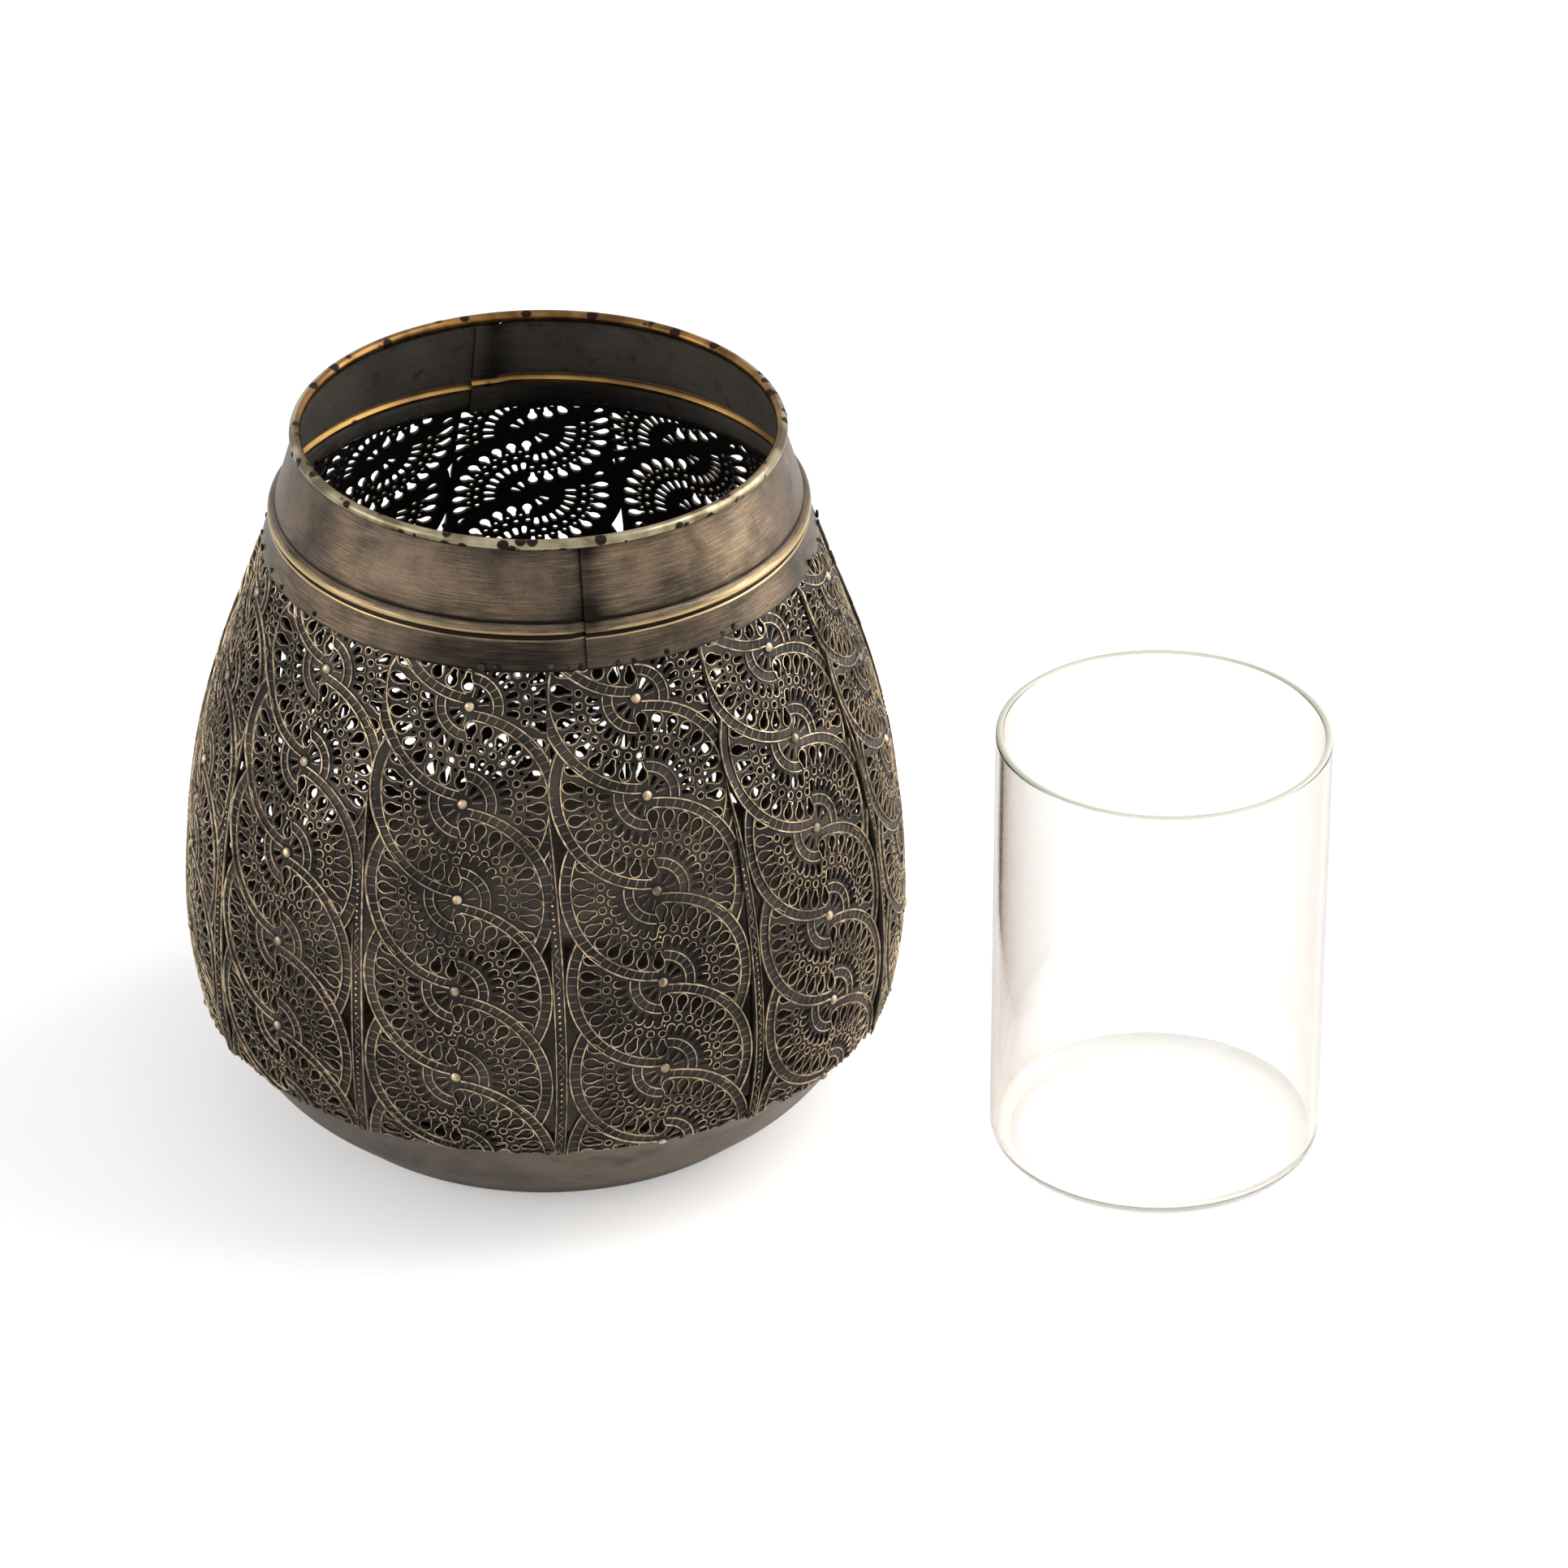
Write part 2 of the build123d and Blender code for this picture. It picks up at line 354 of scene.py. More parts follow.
@dataclass(frozen=True)
class SpottedBrass:
    """Drawn brass wire or solder, tarnished, and burnt in dark spots by the torch.

    To the eye it is a worn gold that turns brown along its length, with blackish spots.
    """

    name: str
    bright: str
    tarnished: str
    burnt: str
    tarnish_size: float
    spot_spacing: float
    spot_radius: float
    roughness: float

    def material(self) -> bpy.types.Material:
        """Build the material from its colours and sizes."""
        material, tree, shader = start_finish(self.name)
        add = partial(add_node, tree)
        place = add("ShaderNodeTexCoord").outputs["Object"]
        tarnish = add(NOISE, {"Vector": place, "Scale": 1 / (self.tarnish_size * MM), "Detail": 3.0})
        dulled = add(RANGE, {"Value": tarnish, "From Min": 0.4, "From Max": 0.6})
        metal = add(MIX, {0: dulled, 6: self.bright, 7: self.tarnished}, data_type="RGBA")
        spots = add("ShaderNodeTexVoronoi", {"Vector": place, "Scale": 1 / (self.spot_spacing * MM)})
        reach = self.spot_radius / self.spot_spacing
        spotting = {
            "Value": spots, "From Min": 0.8 * reach, "From Max": reach, "To Min": 1.0, "To Max": 0.0
        }
        spotted = add(RANGE, spotting)
        colour = add(MIX, {0: spotted, 6: metal, 7: self.burnt}, data_type="RGBA")
        rough = add(RANGE, {"Value": spotted, "To Min": self.roughness, "To Max": 0.55})
        bump = add(BUMP, {"Height": tarnish, "Strength": 0.3, "Distance": 0.15 * MM})
        feed(tree, shader, {"Base Color": colour, "Roughness": rough, "Normal": bump, "Metallic": 1.0})
        return material


def let_light_through(tree: bpy.types.NodeTree, shadow: str) -> None:
    """Let most of the lamps' light through a glass, so that it throws only a faint shadow.

    Args:
        tree: the glass's tree, with its shader and its output.
        shadow: colour of the light behind one wall of the glass.
    """
    shadowing = add_node(tree, "ShaderNodeLightPath").outputs["Is Shadow Ray"]
    passing = add_node(tree, "ShaderNodeBsdfTransparent", {"Color": shadow})
    glass = tree.nodes["Principled BSDF"]
    both = add_node(tree, "ShaderNodeMixShader", {0: shadowing, 1: glass, 2: passing})
    feed(tree, tree.nodes["Material Output"], {"Surface": both})


@dataclass(frozen=True)
class ClearGlass:
    """Blown borosilicate glass, clear, with a faint ripple from the blowing.

    To the eye it is all but unseen in front, and a warm grey towards its sides: a painted
    reflection of the darker room, put on where the look grazes the wall.
    """

    name: str = "borosilicate_glass_blown"
    front: str = "ffffff"
    side: str = "d9ccbe"
    shadow: str = "fbf9f7"
    ripple: float = 22.0

    def material(self) -> bpy.types.Material:
        """Build the material from its tints and ripple."""
        material, tree, shader = start_finish(self.name)
        add = partial(add_node, tree)
        # the warm grey at grazing angles is a painted reflection
        painted_reflection_grazing = add("ShaderNodeLayerWeight", {"Blend": 0.5}).outputs["Facing"]
        sides = add(RANGE, {"Value": painted_reflection_grazing, "From Min": 0.22, "From Max": 0.9})
        # the painted reflection is kept off the floor, which is thin and level
        level = add("ShaderNodeSeparateXYZ", {"Vector": add("ShaderNodeNewGeometry").outputs["Normal"]})
        upright = add(MATHS, {0: level.outputs["Z"]}, operation="ABSOLUTE")
        wall = add(RANGE, {"Value": upright, "To Min": sides, "To Max": 0.0})
        tint = add(MIX, {0: wall, 6: self.front, 7: self.side}, data_type="RGBA")
        place = add("ShaderNodeTexCoord").outputs["Object"]
        ripple = add(NOISE, {"Vector": place, "Scale": 1 / (self.ripple * MM), "Detail": 0.0})
        bump = add(BUMP, {"Height": ripple, "Strength": 0.1, "Distance": 0.1 * MM})
        feed(tree, shader, {"Base Color": tint, "Normal": bump, "Roughness": 0.0, "IOR": GLASS_IOR})
        feed(tree, shader, {"Transmission Weight": 1.0})
        let_light_through(tree, self.shadow)
        return material


@dataclass(frozen=True)
class GlassEdgePaintedLight:
    """Fire-polished edge of the same glass, which gathers the light that runs down the wall.

    To the eye it is a thin line of pale olive, lighter than the rest of a clear edge would be: a mostly
    opaque colour that is painted light, standing in for the light that the edge gathers.
    With paler colours it is the thick foot of the glass, painted nearly white for the white light seen
    through it.
    """

    name: str = "borosilicate_glass_edge_painted_light"
    glow: str = "f2f3e6"
    shade: str = "cfd0b8"
    shadow: str = "f4f2ee"
    clearness: float = 0.2

    def material(self) -> bpy.types.Material:
        """Build the material from its colours."""
        material, tree, shader = start_finish(self.name)
        add = partial(add_node, tree)
        place = add("ShaderNodeTexCoord").outputs["Object"]
        drift = add(NOISE, {"Vector": place, "Scale": 1 / (30 * MM), "Detail": 1.0})
        tint = add(MIX, {0: drift, 6: self.glow, 7: self.shade}, data_type="RGBA")
        feed(tree, shader, {"Base Color": tint, "Roughness": 0.08, "IOR": GLASS_IOR})
        feed(tree, shader, {"Transmission Weight": self.clearness})
        let_light_through(tree, self.shadow)
        return material


# ---- turned pieces ----------------------------------------------------------------------------


@dataclass
class Lathe:
    """A closed side view turned about an upright axis, all the way or part of it."""

    name: str
    outline: list[Flat]
    start: float = 180.0
    sweep: float = 360.0
    steps: int = 192
    centre: Flat = (0.0, 0.0)
    tuck: float = 0.0
    tuck_angle: float = 0.0
    tuck_ease: float = 0.35
    sharp_angle: float = 38.0
    rub: list[float] = field(default_factory=list)

    def inset(self, angle: float) -> float:
        """Tell how far the sheet is pressed in, where its end is tucked behind another.

        Args:
            angle: angle from the sheet's start, in degrees.

        Returns:
            How far it is pressed in, which is nothing where it isn't tucked.
        """
        if not self.tuck_angle:
            return 0.0
        into = (angle - (self.sweep - self.tuck_angle)) / (self.tuck_angle * self.tuck_ease)
        share = min(max(into, 0.0), 1.0)
        return self.tuck * share * share * (3 - 2 * share)

    def build(self) -> bpy.types.Object:
        """Turn the outline.

        Returns:
            The object, with a UV map in metres, round the piece and along its outline, and with
            how rubbed each point is.
        """
        bm = bmesh.new()
        uv = bm.loops.layers.uv.new("sheet")
        rubbed = bm.verts.layers.float.new("rub")
        count = len(self.outline)
        lengths = [0.0]
        for (r0, z0), (r1, z1) in zip(self.outline, self.outline[1:] + self.outline[:1]):
            lengths.append(lengths[-1] + math.hypot(r1 - r0, z1 - z0))
        widest = max(r for r, _ in self.outline)
        rings = []
        for step in range(self.steps + 1):
            turned = self.sweep * step / self.steps
            a = math.radians(self.start + turned)
            inset = self.inset(turned)
            ring = []
            for (r, z), rub in zip(self.outline, self.rub or [0.5] * count):
                reach = max(r - inset, 0.0)
                x, y = self.centre[0] + reach * math.sin(a), self.centre[1] - reach * math.cos(a)
                ring.append(bm.verts.new((x * MM, y * MM, z * MM)))
                ring[-1][rubbed] = rub
            rings.append(ring)
        for step in range(self.steps):
            for i in range(count):
                j = (i + 1) % count
                if self.outline[i][0] == 0 and self.outline[j][0] == 0:
                    continue
                corners = ((step, i, 0), (step + 1, i, 1), (step + 1, j, 1), (step, j, 0))
                face = bm.faces.new([rings[s][k] for s, k, _ in corners])
                for loop, (s, k, _) in zip(face.loops, corners):
                    run = lengths[i + 1] if k == j else lengths[i]
                    loop[uv].uv = (math.radians(self.sweep * s / self.steps) * widest * MM, run * MM)
        if self.sweep < 360:
            bm.faces.new(rings[0])
            bm.faces.new(list(reversed(rings[-1])))
        bmesh.ops.remove_doubles(bm, verts=bm.verts, dist=0.0001 * MM)
        bmesh.ops.recalc_face_normals(bm, faces=bm.faces)
        mesh = bpy.data.meshes.new(self.name)
        bm.to_mesh(mesh)
        bm.free()
        return finish_object(self.name, mesh, self.sharp_angle)


def sheet_outline(outside: list[Flat], thickness: float) -> list[Flat]:
    """Close a sheet's outside line with its inside, a thickness away on the axis side.

    Args:
        outside: points of the outside line, (radius, height), from the bottom up.
        thickness: thickness of the sheet.

    Returns:
        The closed outline.
    """
    line = np.array(outside)
    steps = np.diff(line, axis=0)
    steps /= np.linalg.norm(steps, axis=1)[:, None]
    mean = np.vstack([steps[:1], steps[:-1] + steps[1:], steps[-1:]])
    mean /= np.linalg.norm(mean, axis=1)[:, None]
    inside = line + thickness * np.column_stack([-mean[:, 1], mean[:, 0]])
    inside[:, 0] = np.maximum(inside[:, 0], 0.0)
    return [tuple(p) for p in line] + [tuple(p) for p in inside[::-1]]


def rounded(corners: list[Spot], steps: int = 5) -> list[Flat]:
    """Round the corners of a line.

    Args:
        corners: (radius, height, corner radius) of each point of the line.
        steps: pieces that each round corner is made of.

    Returns:
        The points of the rounded line.
    """
    line: list[Flat] = []
    for i, (x, y, r) in enumerate(corners):
        here = Vector((x, y))
        if r == 0 or i in (0, len(corners) - 1):
            line.append((x, y))
            continue
        back = (Vector(corners[i - 1][:2]) - here).normalized()
        on = (Vector(corners[i + 1][:2]) - here).normalized()
        half = back.angle(on) / 2
        first, last = here + back * r / math.tan(half), here + on * r / math.tan(half)
        middle = here + (back + on).normalized() * r / math.sin(half)
        turn = (first - middle).angle_signed(last - middle)
        for step in range(steps + 1):
            arm = (first - middle).copy()
            arm.rotate(Matrix.Rotation(-turn * step / steps, 2))
            line.append(tuple(middle + arm))
    return line


# ---- the pattern of the strips -----------------------------------------------------------------


@dataclass
class FiligreePattern:
    """One row of the pattern, flat: two fans of holes, turned about a boss, between two bands.

    Every size is for the upper right fan.  The lower left one is the same, turned half round.
    """

    pitch: float = 22.65
    half_stock: float = 26.0
    band_centre: Flat = (-0.45, -1.0)
    band_outer: float = 22.9
    inner_centre: Flat = (-0.9, -1.0)
    band_inner: float = 20.8
    fan_start: float = 87.6
    fan_step: float = 12.5
    drop_count: int = 10
    drop_inner: float = 14.9
    last_drop_inner: float = 16.2
    last_drop_slim: float = 0.75
    drop_gap: float = 0.55
    drop_half_width: float = 1.18
    drop_shape: tuple[Flat, ...] = (
        (0, 0.3),
        (0.16, 0.4),
        (0.3, 0.5),
        (0.42, 0.8),
        (0.56, 0.98),
        (0.72, 1.0),
        (0.86, 0.8),
        (0.96, 0.45),
        (1.0, 0.12),
    )
    ring_distance: float = 13.3
    ring_hole: float = 1.35
    pip_distance: float = 15.2
    pip_size: float = 1.15
    slot_reach: Flat = (8.6, 11.5)
    slot_half_width: float = 0.67
    slot_slant: float = 7.0
    hook_gap: float = 0.22
    hook_radius: float = 0.97
    hook_leg: float = 1.0
    hook_sweep: float = 160.0
    wedge_angles: tuple[float, ...] = (57.0, 26.0)
    wedge_shape: tuple[Flat, ...] = ((2.5, 0.28), (4.0, 0.55), (4.8, 0.62), (5.1, 0.3))
    quarter_band: Flat = (5.65, 7.85)
    boss: float = 2.7
    boss_height: float = 0.9
    edge_bar: float = 22.75
    border: tuple[float, float, float] = (23.1, 24.3, 25.4)
    rung_crest: float = 0.62
    spandrel_gap: float = 0.4
    grid: float = 2.6
    grid_gap: float = 0.5
    sunk: float = 0.1
    rung: Flat = (0.36, 0.08)
    points: list[Spot] = field(default_factory=list)
    relief: list[float] = field(default_factory=list)
    faces: list[tuple[int, ...]] = field(default_factory=list)
    raised: list[bool] = field(default_factory=list)

    def band_reach(self, angle: float) -> float:
        """Tell how far the band is from the boss.

        Args:
            angle: direction in which to look, in degrees.

        Returns:
            The distance to the band's inner line.
        """
        a = math.radians(angle)
        cx, cy = self.inner_centre
        across = cx * math.sin(a) - cy * math.cos(a)
        return cx * math.cos(a) + cy * math.sin(a) + math.sqrt(self.band_inner**2 - across**2)

    def along_ray(self, angle: float, shape: list[Flat], slant: float = 0.0) -> list[Flat]:
        """Lay a shape drawn along a ray from the boss.

        Args:
            angle: direction of the ray, in degrees.
            shape: (distance out, half width) of its right side, from the boss outwards.
            slant: degrees that it leans off the ray, about its own middle.

        Returns:
            Its corners.
        """
        middle = (shape[0][0] + shape[-1][0]) / 2
        corners = [(r - middle, -w) for r, w in shape] + [(r - middle, w) for r, w in reversed(shape) if w]
        leaned = [(x + middle, y) for x, y in turn_points(corners, slant)]
        return turn_points(leaned, angle)

    def fan_angle(self, place: float) -> float:
        """Direction of a place in the fan, counted in steps from its upper end."""
        return self.fan_start - self.fan_step * place

    def drops(self) -> list[list[Flat]]:
        """Teardrop holes, their round ends at the band, the last one short and slim."""
        holes = []
        for i in range(self.drop_count):
            last = i == self.drop_count - 1
            angle = self.fan_angle(i)
            inner = self.last_drop_inner if last else self.drop_inner
            reach = self.band_reach(angle) - self.drop_gap - inner
            half = self.drop_half_width * (self.last_drop_slim if last else 1.0)
            holes.append(self.along_ray(angle, [(inner + reach * t, half * w) for t, w in self.drop_shape]))
        return holes

    def oval(self, angle: float, distance: float, along: float, across: float, sides: int) -> list[Flat]:
        """Lay an oval at a place in the fan.

        Args:
            angle: direction of its ray, in degrees.
            distance: how far out its middle is.
            along: its length along the ray.
            across: its width across the ray.
            sides: corners round it.

        Returns:
            Its corners.
        """
        round_one = [polar(360 * k / sides, 1.0) for k in range(sides)]
        return turn_points([(distance + along / 2 * x, across / 2 * y) for x, y in round_one], angle)

    def rings(self) -> list[list[Flat]]:
        """Small round holes between the teardrops and the slots."""
        size = self.ring_hole
        return [
            self.oval(self.fan_angle(i), self.ring_distance, size, size, 8)
            for i in range(self.drop_count - 1)
        ]

    def pips(self) -> list[list[Flat]]:
        """Plain holes in the spandrels between two teardrops and two round holes."""
        size = self.pip_size
        return [
            self.oval(self.fan_angle(i + 0.5), self.pip_distance, size, size * 0.95, 6)
            for i in range(self.drop_count - 2)
        ]

    def slots(self) -> list[list[Flat]]:
        """Slots round the quarter band, rounded outwards and slightly aslant."""
        r0, r1 = self.slot_reach
        w = self.slot_half_width
        shape = [(r0, 0.55 * w), (r0 + 0.8, 0.85 * w), (r1 - 0.85, w)]
        shape += [(r1 - 0.42, 0.94 * w), (r1 - 0.12, 0.66 * w), (r1, 0.25 * w)]
        places = range(self.drop_count - 2)
        return [self.along_ray(self.fan_angle(i + 0.5), shape, self.slot_slant) for i in places]

    def hooks(self) -> list[list[Flat]]:
        """Lines pressed round the outer ends of the slots, with one long leg, like fish scales."""
        radius = self.hook_radius
        middle = self.slot_reach[1] + self.hook_gap - radius
        bow = [polar(90 - self.hook_sweep * k / 6, radius) for k in range(7)]
        hook = [(middle - self.hook_leg, radius)] + [(middle + x, y) for x, y in bow]
        return [turn_points(hook, self.fan_angle(i + 0.5)) for i in range(self.drop_count - 2)]

    def wedges(self) -> list[list[Flat]]:
        """Wedge holes inside the quarter band."""
        return [self.along_ray(angle, list(self.wedge_shape)) for angle in self.wedge_angles]

    def spandrel(self) -> list[Flat]:
        """Opening between two bands and the bar down the strip's edge."""
        cx, cy = self.band_centre
        reach = self.band_outer + self.spandrel_gap
        end = math.degrees(math.acos((self.edge_bar - cx) / reach))
        join = math.degrees(math.asin(self.pitch / 2 / reach))
        upper = [polar(-end - (join - end) * k / 6, reach) for k in range(7)]
        lower = [polar(join - (join - end) * k / 6, reach) for k in range(1, 7)]
        return [(cx + x, cy + y) for x, y in upper] + [(cx + x, cy - self.pitch + y) for x, y in lower]

    def holes(self) -> list[list[Flat]]:
        """All the holes of a row, of both its fans."""
        fan = [*self.drops(), *self.rings(), *self.pips(), *self.slots(), *self.wedges(), self.spandrel()]
        return fan + [[(-x, -y) for x, y in hole] for hole in fan]

    def lay_sheet(self) -> None:
        """Cut the sheet of one row into triangles round its holes."""
        half, stock = self.pitch / 2, self.half_stock
        holes = [
            [(x, y + shift * self.pitch) for x, y in hole] for shift in (-1, 0, 1) for hole in self.holes()
        ]
        points: list[Flat] = []
        loops: list[list[int]] = []
        for hole in holes:
            loops.append(list(range(len(points), len(points) + len(hole))))
            points.extend(hole)
        rim = np.array(points)
        columns = np.arange(-stock, stock + self.grid / 2, self.grid)
        edges: list[tuple[int, int]] = []
        for level in (-half, half):
            first = len(points)
            points.extend((float(u), level) for u in columns)
            edges.extend((first + i, first + i + 1) for i in range(len(columns) - 1))
        inner = np.arange(-half, half + 0.01, half / 4)[1:-1]
        for v in inner:
            for u in columns:
                if np.hypot(*(rim - (u, v)).T).min() > self.grid_gap or abs(u) == stock:
                    points.append((float(u), float(v)))
        spots = [Vector(p) for p in points]
        verts, _, faces, _, _, owners = delaunay_2d_cdt(spots, edges, loops, 0, SAME_POINT, True)
        kept = []
        for face, inside in zip(faces, owners):
            across, up = (abs(sum(verts[i][axis] for i in face) / 3) for axis in (0, 1))
            if not inside and up < half and across < stock:
                kept.append(face)
        used = {i: n for n, i in enumerate(sorted({i for face in kept for i in face}))}
        self.points = [(verts[i].x, verts[i].y, 0.0) for i in used]
        self.relief = [0.0] * len(used)
        for face in kept:
            a, b, c = (verts[i] for i in face)
            forwards = (b - a).cross(c - a) > 0
            corners = [used[i] for i in (face if forwards else reversed(face))]
            self.faces.append(tuple(corners))
            self.raised.append(False)

    def press_line(
        self, line: list[Flat], width: float, height: float, closed: bool = False, crest: float = 1.0
    ) -> None:
        """Raise a line of the pattern, and its copy in the other fan, out of the sheet.

        Args:
            line: its points.
            width: its width at the sheet.
            height: its height.
            closed: whether its last point joins its first.
            crest: how far its crest is rubbed, from 0 to 1.
        """
        path = np.array(line)
        before = np.roll(path, 1, axis=0) if closed else np.vstack([path[:1], path[:-1]])
        after = np.roll(path, -1, axis=0) if closed else np.vstack([path[1:], path[-1:]])
        run = after - before
        run /= np.linalg.norm(run, axis=1)[:, None]
        side = np.column_stack([-run[:, 1], run[:, 0]])
        count = len(path)
        foot, top = width / 2, width / 5
        low, high = (-self.sunk, 0.0), (height, crest)
        section = ((-foot, *low), (-top, *high), (top, *high), (foot, *low))
        for way in (1, -1):
            first = len(self.points)
            for offset, h, rub in section:
                for x, y in way * (path + side * offset):
                    self.points.append((float(x), float(y), h))
                    self.relief.append(rub)
            for i in range(count if closed else count - 1):
                j = (i + 1) % count
                for row in range(3):
                    low, high = first + row * count, first + (row + 1) * count
                    self.faces.append((low + i, low + j, high + j, high + i))
                    self.raised.append(True)

    def press_dome(
        self, centre: Flat, diameter: float, height: float, sides: int, both: bool = False
    ) -> None:
        """Raise a round knob out of the sheet.

        Args:
            centre: its middle.
            diameter: its diameter at the sheet.
            height: its height.
            sides: corners round it.
            both: whether the other fan gets one too.
        """
        rings = ((1.0, -self.sunk, 0.0), (0.86, 0.55 * height, 0.72), (0.5, 0.9 * height, 0.9))
        for way in (1, -1) if both else (1,):
            first = len(self.points)
            for share, rise, crest in rings:
                for k in range(sides):
                    x, y = polar(360 * k / sides, diameter / 2 * share)
                    self.points.append((way * centre[0] + x, way * centre[1] + y, rise))
                    self.relief.append(crest)
            self.points.append((way * centre[0], way * centre[1], height))
            self.relief.append(1.0)
            for k in range(sides):
                on = (k + 1) % sides
                for low in (first, first + sides):
                    self.faces.append((low + k, low + on, low + sides + on, low + sides + k))
                top = first + 2 * sides
                self.faces.append((top + k, top + on, top + sides))
                self.raised.extend((True, True, True))

    def press_relief(self) -> None:
        """Raise the bands, the lips of the holes, the edge ornament and the bosses."""
        for hole in self.drops():
            self.press_line(self.grown(hole, 0.24), 0.42, 0.34, closed=True, crest=0.95)
        for hole in self.rings():
            self.press_line(self.grown(hole, 0.26), 0.4, 0.32, closed=True, crest=0.95)
        for lip in self.hooks():
            self.press_line(lip, 0.46, 0.34)
        self.press_line(arc(self.band_outer, 85.8, -29.6, 5.5, self.band_centre), 0.7, 0.45)
        self.press_line(arc(self.band_inner, 85.0, -24.5, 5.5, self.inner_centre), 0.6, 0.42)
        for angle in np.arange(82.0, -24.0, -5.6):
            inner, outer = polar(float(angle), self.band_inner), polar(float(angle), self.band_outer)
            ends = [(self.inner_centre[0] + inner[0], self.inner_centre[1] + inner[1])]
            ends.append((self.band_centre[0] + outer[0], self.band_centre[1] + outer[1]))
            self.press_line(ends, *self.rung, crest=self.rung_crest)
        for radius in self.quarter_band:
            self.press_line(arc(radius, 85.0, -12.0, 9), 0.56, 0.38)
        for angle in (70.0, 54.0, 38.0, 22.0, 6.0):
            self.press_line([polar(angle, r) for r in self.quarter_band], *self.rung, crest=self.rung_crest)
        for angle in (76.0, 41.0, 10.0):
            self.press_line([polar(angle, 2.2), polar(angle, 4.7)], 0.36, 0.16, crest=0.75)
        half = self.pitch / 2
        line, beads, rim = self.border
        for u, width in ((line, 0.55), (rim, 0.5)):
            self.press_line([(u, half * k / 3) for k in range(-3, 4)], width, 0.3, crest=0.85)
        for k in range(7):
            self.press_dome((beads, half * (k + 0.5) / 7.0), 0.75, 0.35, 5, both=True)
        hatch = [(beads + (0.45 if k % 2 else -0.6), -half + half * k / 9) for k in range(10)]
        self.press_line(hatch, 0.4, 0.22, crest=0.8)
        self.press_dome((0.0, 0.0), self.boss, self.boss_height, 12)
        self.press_dome((0.0, half), 0.8, 0.4, 6)

    @staticmethod
    def grown(corners: list[Flat], margin: float) -> list[Flat]:
        """Move the corners of a hole outwards by a margin."""
        path = np.array(corners)
        run = np.roll(path, -1, axis=0) - np.roll(path, 1, axis=0)
        run /= np.linalg.norm(run, axis=1)[:, None]
        return [tuple(p) for p in path + margin * np.column_stack([run[:, 1], -run[:, 0]])]

    def build(self) -> bpy.types.Mesh:
        """Make the flat mesh of one row, in metres.

        Returns:
            The mesh, with how far rubbed each point is, and which faces are raised.
        """
        self.lay_sheet()
        self.press_relief()
        mesh = bpy.data.meshes.new("filigree_row")
        mesh.from_pydata([tuple(c * MM for c in p) for p in self.points], [], self.faces)
        relief = mesh.attributes.new("relief", "FLOAT", "POINT")
        relief.data.foreach_set("value", self.relief)
        raised = mesh.attributes.new("raised", "BOOLEAN", "FACE")
        raised.data.foreach_set("value", self.raised)
        return mesh


# ---- geometry node trees ------------------------------------------------------------------------


def geometry_tree(name: str, sizes: dict[str, str]) -> bpy.types.NodeTree:
    """Start a Geometry Nodes tree with named inputs.

    Args:
        name: name of the tree.
        sizes: socket type of each input, by name; the first one is the geometry.

    Returns:
        The tree, with its one output, called Geometry.
    """
    tree = bpy.data.node_groups.new(name, "GeometryNodeTree")
    for label, kind in sizes.items():
        tree.interface.new_socket(name=label, in_out="INPUT", socket_type=f"NodeSocket{kind}")
    tree.interface.new_socket(name="Geometry", in_out="OUTPUT", socket_type="NodeSocketGeometry")
    return tree


def grow(
    name: str, tree: bpy.types.NodeTree, mesh: bpy.types.Mesh, values: dict, sharp_angle: float
) -> bpy.types.Object:
    """Run a Geometry Nodes tree on a mesh and keep the result as a plain mesh.

    Args:
        name: name of the piece.
        tree: the tree.
        mesh: the mesh that goes into it.
        values: value of each named input.
        sharp_angle: angle in degrees past which an edge stays sharp.

    Returns:
        The piece, with no modifier on it.
    """
    maker = bpy.data.objects.new("maker", mesh)
    bpy.context.collection.objects.link(maker)
    modifier = maker.modifiers.new("make", "NODES")
    modifier.node_group = tree
    for item in tree.interface.items_tree:
        if item.in_out == "INPUT" and item.name in values:
            modifier[item.identifier] = values[item.name]
    graph = bpy.context.evaluated_depsgraph_get()
    made = bpy.data.meshes.new_from_object(
        maker.evaluated_get(graph), preserve_all_data_layers=True, depsgraph=graph
    )
    bpy.data.objects.remove(maker)
    return finish_object(name, made, sharp_angle)


